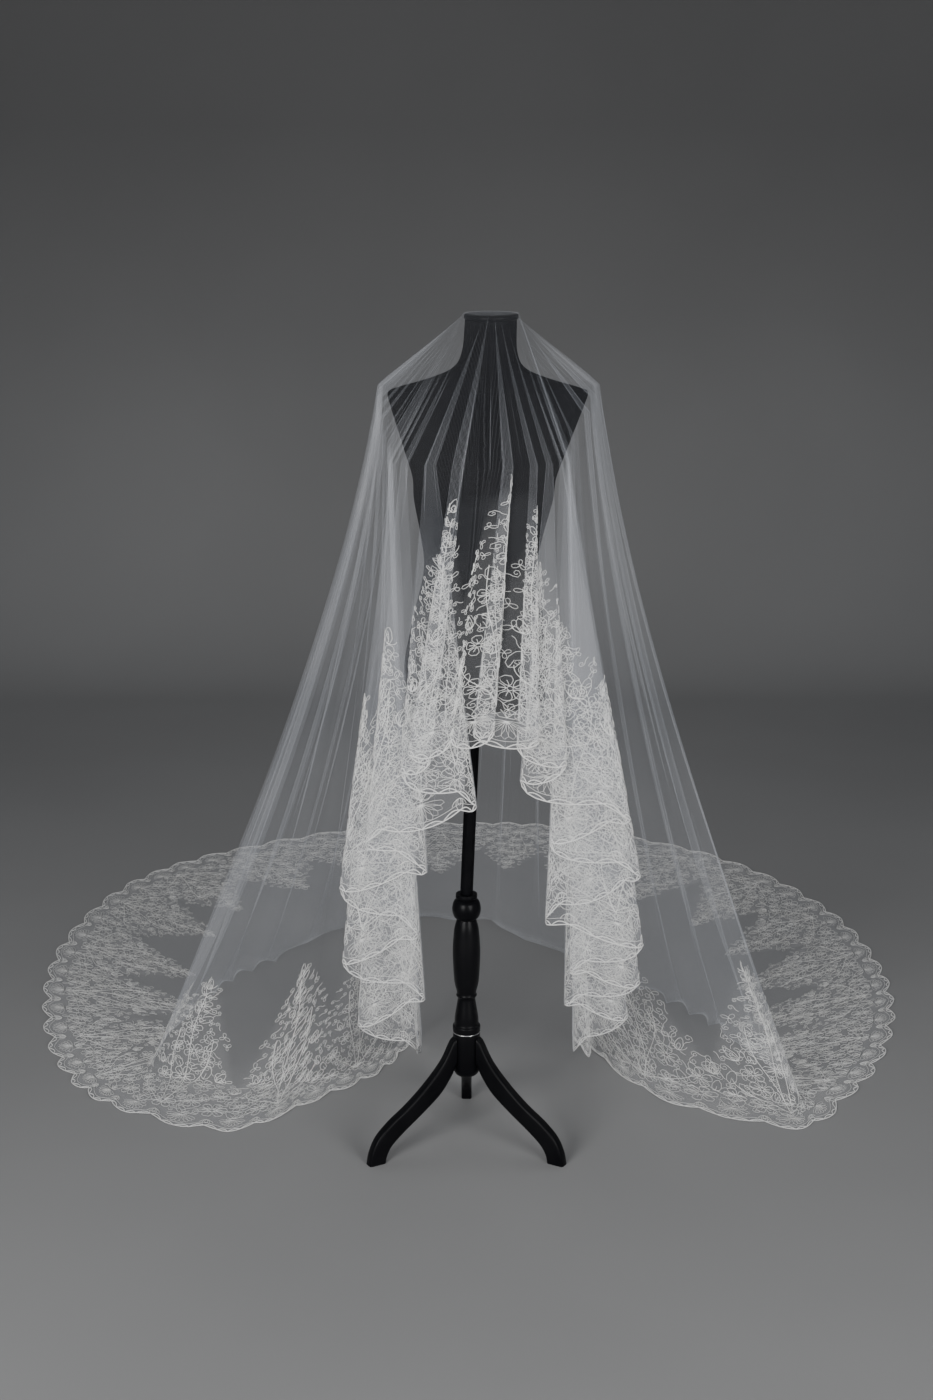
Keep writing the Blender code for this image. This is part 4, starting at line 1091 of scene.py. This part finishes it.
def add_tube(name, rings, material, replaced):
    """Closed body from a stack of rings (rings x sides x 3), with flat ends."""
    levels, sides = rings.shape[:2]
    points = rings.transpose(1, 0, 2).reshape(-1, 3)
    faces = grid_faces(sides, levels, True)[:, ::-1]
    turn = np.linspace(0, 1, sides, endpoint=False)[:, None]
    height = path_lengths(rings[:, :1].transpose(1, 0, 2))[0][None, :]
    around = np.linalg.norm(rings - rings.mean(axis=1, keepdims=True), axis=2).mean() * 6.28
    uv = np.stack([turn * around + 0 * height, height + 0 * turn], axis=-1).reshape(-1, 2)
    piece = add_mesh(name, points, faces, uv)
    mesh = piece.data
    low = np.arange(sides) * levels
    ends = np.stack([low[::-1], low + levels - 1])
    polygons = [list(p.vertices) for p in mesh.polygons] + ends.tolist()
    closed = bpy.data.meshes.new(name)
    closed.from_pydata([v.co for v in mesh.vertices], [], polygons)
    corners = np.zeros(len(closed.loops), dtype=np.int32)
    closed.loops.foreach_get("vertex_index", corners)
    layer = closed.uv_layers.new(name="UVMap")
    layer.data.foreach_set("uv", uv[corners].astype(np.float32).ravel())
    closed.shade_smooth()
    closed.set_sharp_from_angle(angle=math.radians(50))
    piece.data = closed
    closed.materials.append(material)
    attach(piece, "root")
    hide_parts(replaced)
    print(name, len(closed.vertices), "points")
    return piece


def ellipse_rings(table, sides):
    """Torso rings: x = w cos a, y = d sin a, each raised to 2 / squareness."""
    a = np.linspace(0, 2 * np.pi, sides, endpoint=False)
    c, s = np.cos(a)[None, :], np.sin(a)[None, :]
    z, wide, deep, middle, square = (column[:, None] for column in table.T)
    x = lean_x(z) + wide * np.sign(c) * np.abs(c) ** (2 / square)
    y = middle + deep * np.sign(s) * np.abs(s) ** (2 / square)
    return np.stack([x, y, z + 0 * x], axis=-1)


jersey, tree, shader = new_material("black_jersey_knit")
flat_uv = add_node(tree, "UVMap", uv_map="UVMap")
place_of = add_node(tree, "TexCoord")
knit = use_group(tree, twist_group, Along=flat_uv.outputs["UV"], Scale=90.0,
                 Strength=0.05)
patch = use_group(tree, patch_group, Place=place_of.outputs["Object"], Scale=6.0)
worn = blend(tree, patch.outputs["Patch"], (0.003, 0.003, 0.004, 1), (0.006, 0.006, 0.007, 1))
feed(tree, shader.inputs["Base Color"], worn)
feed(tree, shader.inputs["Normal"], knit.outputs["Normal"])
feed(tree, shader.inputs["Roughness"], spread(tree, knit.outputs["Twist"], 0, 1, 0.88, 0.94))
shader.inputs["Specular IOR Level"].default_value = 0.04

ring_table = np.array(TORSO_RINGS)
steps = np.linspace(0, len(ring_table) - 1, 97)
fine_rings = smooth_rows(np.arange(len(ring_table)), ring_table, steps)
fine_rings[:, 0] = np.maximum.accumulate(fine_rings[:, 0])
torso = add_tube("torso_jersey", ellipse_rings(fine_rings, 96), jersey, "torso")

# %% [markdown]
# The stand is turned on a lathe: a profile of radius and height, spun round the axis.
# The black lacquer is thin and rubbed down, so it shines little, and a bit unevenly.

# %% title Lacquer and lathe work
lacquer, tree, shader = new_material("black_lacquer")
place_of = add_node(tree, "TexCoord")
patch = use_group(tree, patch_group, Place=place_of.outputs["Object"], Scale=14.0)
feed(tree, shader.inputs["Base Color"],
     blend(tree, patch.outputs["Patch"], (0.003, 0.003, 0.004, 1), (0.006, 0.006, 0.007, 1)))
feed(tree, shader.inputs["Roughness"], spread(tree, patch.outputs["Patch"], 0, 1, 0.30, 0.42))
shader.inputs["Specular IOR Level"].default_value = 0.12

Turn = namedtuple("Turn", "r z")
HUB_PROFILE = (
    Turn(0.012, 0.139), Turn(0.020, 0.142), Turn(0.025, 0.150), Turn(0.026, 0.162),
    Turn(0.026, 0.222), Turn(0.0245, 0.2297),
)
POST_PROFILE = (
    Turn(0.0255, 0.230), Turn(0.0265, 0.236), Turn(0.0265, 0.243), Turn(0.0235, 0.247),
    Turn(0.0225, 0.262), Turn(0.0180, 0.290), Turn(0.0170, 0.300), Turn(0.0200, 0.306),
    Turn(0.0185, 0.312), Turn(0.0235, 0.335), Turn(0.0260, 0.375), Turn(0.0262, 0.405),
    Turn(0.0235, 0.440), Turn(0.0190, 0.458), Turn(0.0180, 0.462), Turn(0.0235, 0.466),
    Turn(0.0268, 0.476), Turn(0.0270, 0.486), Turn(0.0238, 0.497), Turn(0.0180, 0.502),
    Turn(0.0205, 0.505), Turn(0.0200, POST_TOP),
)


def lathe(profile, sides=64, shift=0.0, fine=4):
    """Rings of a turned piece: x = r cos a + shift, y = r sin a, with a smoothed profile."""
    table = np.array(profile)
    at = np.linspace(0, len(table) - 1, (len(table) - 1) * fine + 1)
    table = smooth_rows(np.arange(len(table)), table, at)
    table[:, 1] = np.maximum.accumulate(table[:, 1])
    a = np.linspace(0, 2 * np.pi, sides, endpoint=False)[None, :]
    r, z = table[:, :1], table[:, 1:]
    x = r * np.cos(a) + shift
    return np.stack([x, r * np.sin(a), z + 0 * a], axis=-1)


add_tube("post_turned", lathe(POST_PROFILE), lacquer, "turned_post")
add_tube("hub_turned", lathe(HUB_PROFILE), lacquer, "hub")
CAP_PROFILE = (
    Turn(0.044, CAP_TOP - CAP_THICK), Turn(0.0480, CAP_TOP - 0.0085),
    Turn(0.0480, CAP_TOP - 0.002), Turn(0.0450, CAP_TOP),
)
satin = lacquer.copy()
satin.name = "black_satin_lacquer"
satin_shader = satin.node_tree.nodes["Principled BSDF"]
satin_shader.inputs["Specular IOR Level"].default_value = 0.05
add_tube("cap_turned", lathe(CAP_PROFILE, 64, lean_x(CAP_TOP), 3), satin, "neck_cap")

# %% [markdown]
# The pole is steel tube with a thin coat of paint; it leans with the form.
# A bright ring marks where the post is screwed into the hub.

# %% title Pole and ring
paint, tree, shader = new_material("black_steel_paint")
place_of = add_node(tree, "TexCoord")
patch = use_group(tree, patch_group, Place=place_of.outputs["Object"], Scale=30.0)
feed(tree, shader.inputs["Base Color"],
     blend(tree, patch.outputs["Patch"], (0.003, 0.003, 0.004, 1), (0.006, 0.006, 0.007, 1)))
feed(tree, shader.inputs["Roughness"], spread(tree, patch.outputs["Patch"], 0, 1, 0.45, 0.60))
shader.inputs["Specular IOR Level"].default_value = 0.06
pole_z = np.linspace(POST_TOP + SEAM, TORSO_FOOT - SEAM, 9)[:, None]
a = np.linspace(0, 2 * np.pi, 48, endpoint=False)[None, :]
pole_rings = np.stack([lean_x(pole_z) + 0.012 * np.cos(a), 0.012 * np.sin(a) + 0 * pole_z,
                       pole_z + 0 * a], axis=-1)
add_tube("pole_painted", pole_rings, paint, "pole")

nickel, tree, shader = new_material("nickel_ring")
place_of = add_node(tree, "TexCoord")
patch = use_group(tree, patch_group, Place=place_of.outputs["Object"], Scale=80.0)
feed(tree, shader.inputs["Base Color"],
     blend(tree, patch.outputs["Patch"], (0.50, 0.50, 0.50, 1), (0.66, 0.66, 0.65, 1)))
feed(tree, shader.inputs["Roughness"], spread(tree, patch.outputs["Patch"], 0, 1, 0.25, 0.40))
shader.inputs["Metallic"].default_value = 1.0
round_ring = np.linspace(0, 2 * np.pi, 64, endpoint=False)[:, None]
section = np.linspace(0, 2 * np.pi, 12, endpoint=False)[None, :]
ring_r = 0.0262 + 0.0009 * np.cos(section)
ring_points = np.stack([ring_r * np.cos(round_ring), ring_r * np.sin(round_ring),
                        0.2302 + 0.0009 * np.sin(section) + 0 * round_ring], axis=-1)
ring_points = np.concatenate([ring_points, ring_points[:, :1]], axis=1)
ring_uv = np.stack([0.165 * round_ring / 6.283 + 0 * ring_r[:, :1], 0 * round_ring], axis=-1)
ring_uv = np.broadcast_to(ring_uv, (*ring_points.shape[:2], 2))
ring = add_grid("post_ring", ring_points, ring_uv)
ring.data.materials.append(nickel)
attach(ring, "root")

# %% [markdown]
# Each leg is sawn from a board along two curves and then rounded over.
# Its section is a squared ellipse between the upper and the lower curve.

# %% title Legs
LegPoint = namedtuple("LegPoint", "out z")
LEG_TOP_EDGE = (
    LegPoint(0.0263, 0.222), LegPoint(0.034, 0.214), LegPoint(0.056, 0.176),
    LegPoint(0.094, 0.136), LegPoint(0.132, 0.104), LegPoint(0.170, 0.078),
    LegPoint(0.198, 0.052), LegPoint(0.212, 0.024), LegPoint(0.217, 0.000),
)
LEG_LOW_EDGE = (
    LegPoint(0.182, 0.000), LegPoint(0.179, 0.014), LegPoint(0.168, 0.032),
    LegPoint(0.142, 0.054), LegPoint(0.100, 0.084), LegPoint(0.062, 0.114),
    LegPoint(0.040, 0.142), LegPoint(0.030, 0.160), LegPoint(0.0263, 0.168),
)
LEG_THICK = 0.021
LEG_TURNS = {"leg_front_left": 210, "leg_front_right": 330, "leg_back": 90}


def leg_rings(turn):
    """Sections of a leg: middle + up c^(1/3) + across s^(1/3), from the hub to the foot."""
    at = np.linspace(0, len(LEG_TOP_EDGE) - 1, 49)
    places = np.arange(len(LEG_TOP_EDGE))
    top = smooth_rows(places, np.array(LEG_TOP_EDGE), at)
    low = smooth_rows(places, np.array(LEG_LOW_EDGE[::-1]), at)
    a = np.linspace(0, 2 * np.pi, 32, endpoint=False)[None, :]
    c = np.sign(np.cos(a)) * np.abs(np.cos(a)) ** 0.35
    s = np.sign(np.sin(a)) * np.abs(np.sin(a)) ** 0.35
    flat = (top + low)[:, None] / 2 + (top - low)[:, None] / 2 * c[..., None]
    out = np.array([math.cos(turn), math.sin(turn)])
    across = np.array([-math.sin(turn), math.cos(turn)])
    plan = (flat[..., :1] + SEAM) * out + s[..., None] * across * LEG_THICK / 2
    return np.concatenate([plan, np.maximum(flat[..., 1:], 0.0)], axis=-1)


for name, turn in LEG_TURNS.items():
    add_tube(name.replace("leg", "board"), leg_rings(math.radians(turn)), lacquer, name)

# %% [markdown]
# The studio is a roll of grey paper: it lies on the floor, bends up and hangs behind.
# Its colour is painted darker higher up: painted shade for the light that falls off towards the
# top of the paper.

# %% title Backdrop
BEND_Y, BEND_RADIUS, WALL_TOP = 3.3, 1.2, 5.0
floor_part = np.stack([np.linspace(-7.0, BEND_Y, 12), np.zeros(12)], axis=1)
bend = np.linspace(0, np.pi / 2, 25)[1:]
bend_part = np.stack([BEND_Y + BEND_RADIUS * np.sin(bend),
                      BEND_RADIUS * (1 - np.cos(bend))], axis=1)
wall_part = np.stack([np.full(8, BEND_Y + BEND_RADIUS),
                      np.linspace(BEND_RADIUS, WALL_TOP, 9)[1:]], axis=1)
profile = np.concatenate([floor_part, bend_part, wall_part])
across = np.linspace(7.0, -7.0, 15)
paper_points = np.stack([across[:, None] + 0 * profile[:, 0],
                         profile[:, 0] + 0 * across[:, None],
                         profile[:, 1] + 0 * across[:, None]], axis=-1)
paper = add_grid("studio_paper", paper_points, paper_points[..., :2], closed=False)
grey, tree, shader = new_material("grey_paper")
place_of = add_node(tree, "TexCoord")
split = add_node(tree, "SeparateXYZ")
feed(tree, split.inputs[0], place_of.outputs["Object"])
patch = use_group(tree, patch_group, Place=place_of.outputs["Object"], Scale=0.8)
# painted shade: the colour blends from the lit floor tone to a darker painted shade tone above
# 1.9 m
low_tone = blend(tree, patch.outputs["Patch"], (0.29, 0.29, 0.29, 1), (0.32, 0.32, 0.32, 1))
painted_shade_top = blend(tree, patch.outputs["Patch"], (0.155, 0.155, 0.155, 1), (0.17, 0.17, 0.17, 1))
tone = blend(tree, spread(tree, split.outputs["Z"], 0.0, 1.9, 0.0, 1.0), low_tone, painted_shade_top)
feed(tree, shader.inputs["Base Color"], tone)
side = add_node(tree, "NewGeometry")
feed(tree, shader.inputs["Alpha"], sums(tree, "SUBTRACT", 1.0, side.outputs["Backfacing"]))
shader.inputs["Roughness"].default_value = 0.9
shader.inputs["Specular IOR Level"].default_value = 0.1
paper.data.materials.append(grey)

# %% [markdown]
# Two large soft lights stand in front, left and right, and one hangs above the train.
# Many layers of net lie behind each other, so a ray must be allowed through many of them.

# %% title Lights
SoftLight = namedtuple("SoftLight", "name x y z size power")
LIGHTS = (
    SoftLight("key_left", -1.9, -3.4, 1.7, 1.8, 104),
    SoftLight("fill_right", 2.2, -3.4, 1.6, 2.0, 84),
    SoftLight("over_train", 0.0, 1.6, 4.2, 2.8, 16),
)
for light in LIGHTS:
    data = bpy.data.lights.new(light.name, "AREA")
    data.shape, data.size, data.energy = "DISK", light.size, light.power
    lamp = bpy.data.objects.new(light.name, data)
    scene.collection.objects.link(lamp)
    lamp.location = Vector(AXIS) + Vector((light.x, light.y, light.z))
    aim = Vector(AXIS) + Vector((0.0, 0.4, 0.6)) - lamp.location
    lamp.rotation_euler = aim.to_track_quat("-Z", "Y").to_euler()
world = bpy.data.worlds.new("studio")
world.use_nodes = True
world.node_tree.nodes["Background"].inputs["Color"].default_value = (0.9, 0.93, 1.0, 1)
world.node_tree.nodes["Background"].inputs["Strength"].default_value = 0.15
scene.world = world
scene.cycles.transparent_max_bounces = 48
print("lights:", [light.name for light in LIGHTS])
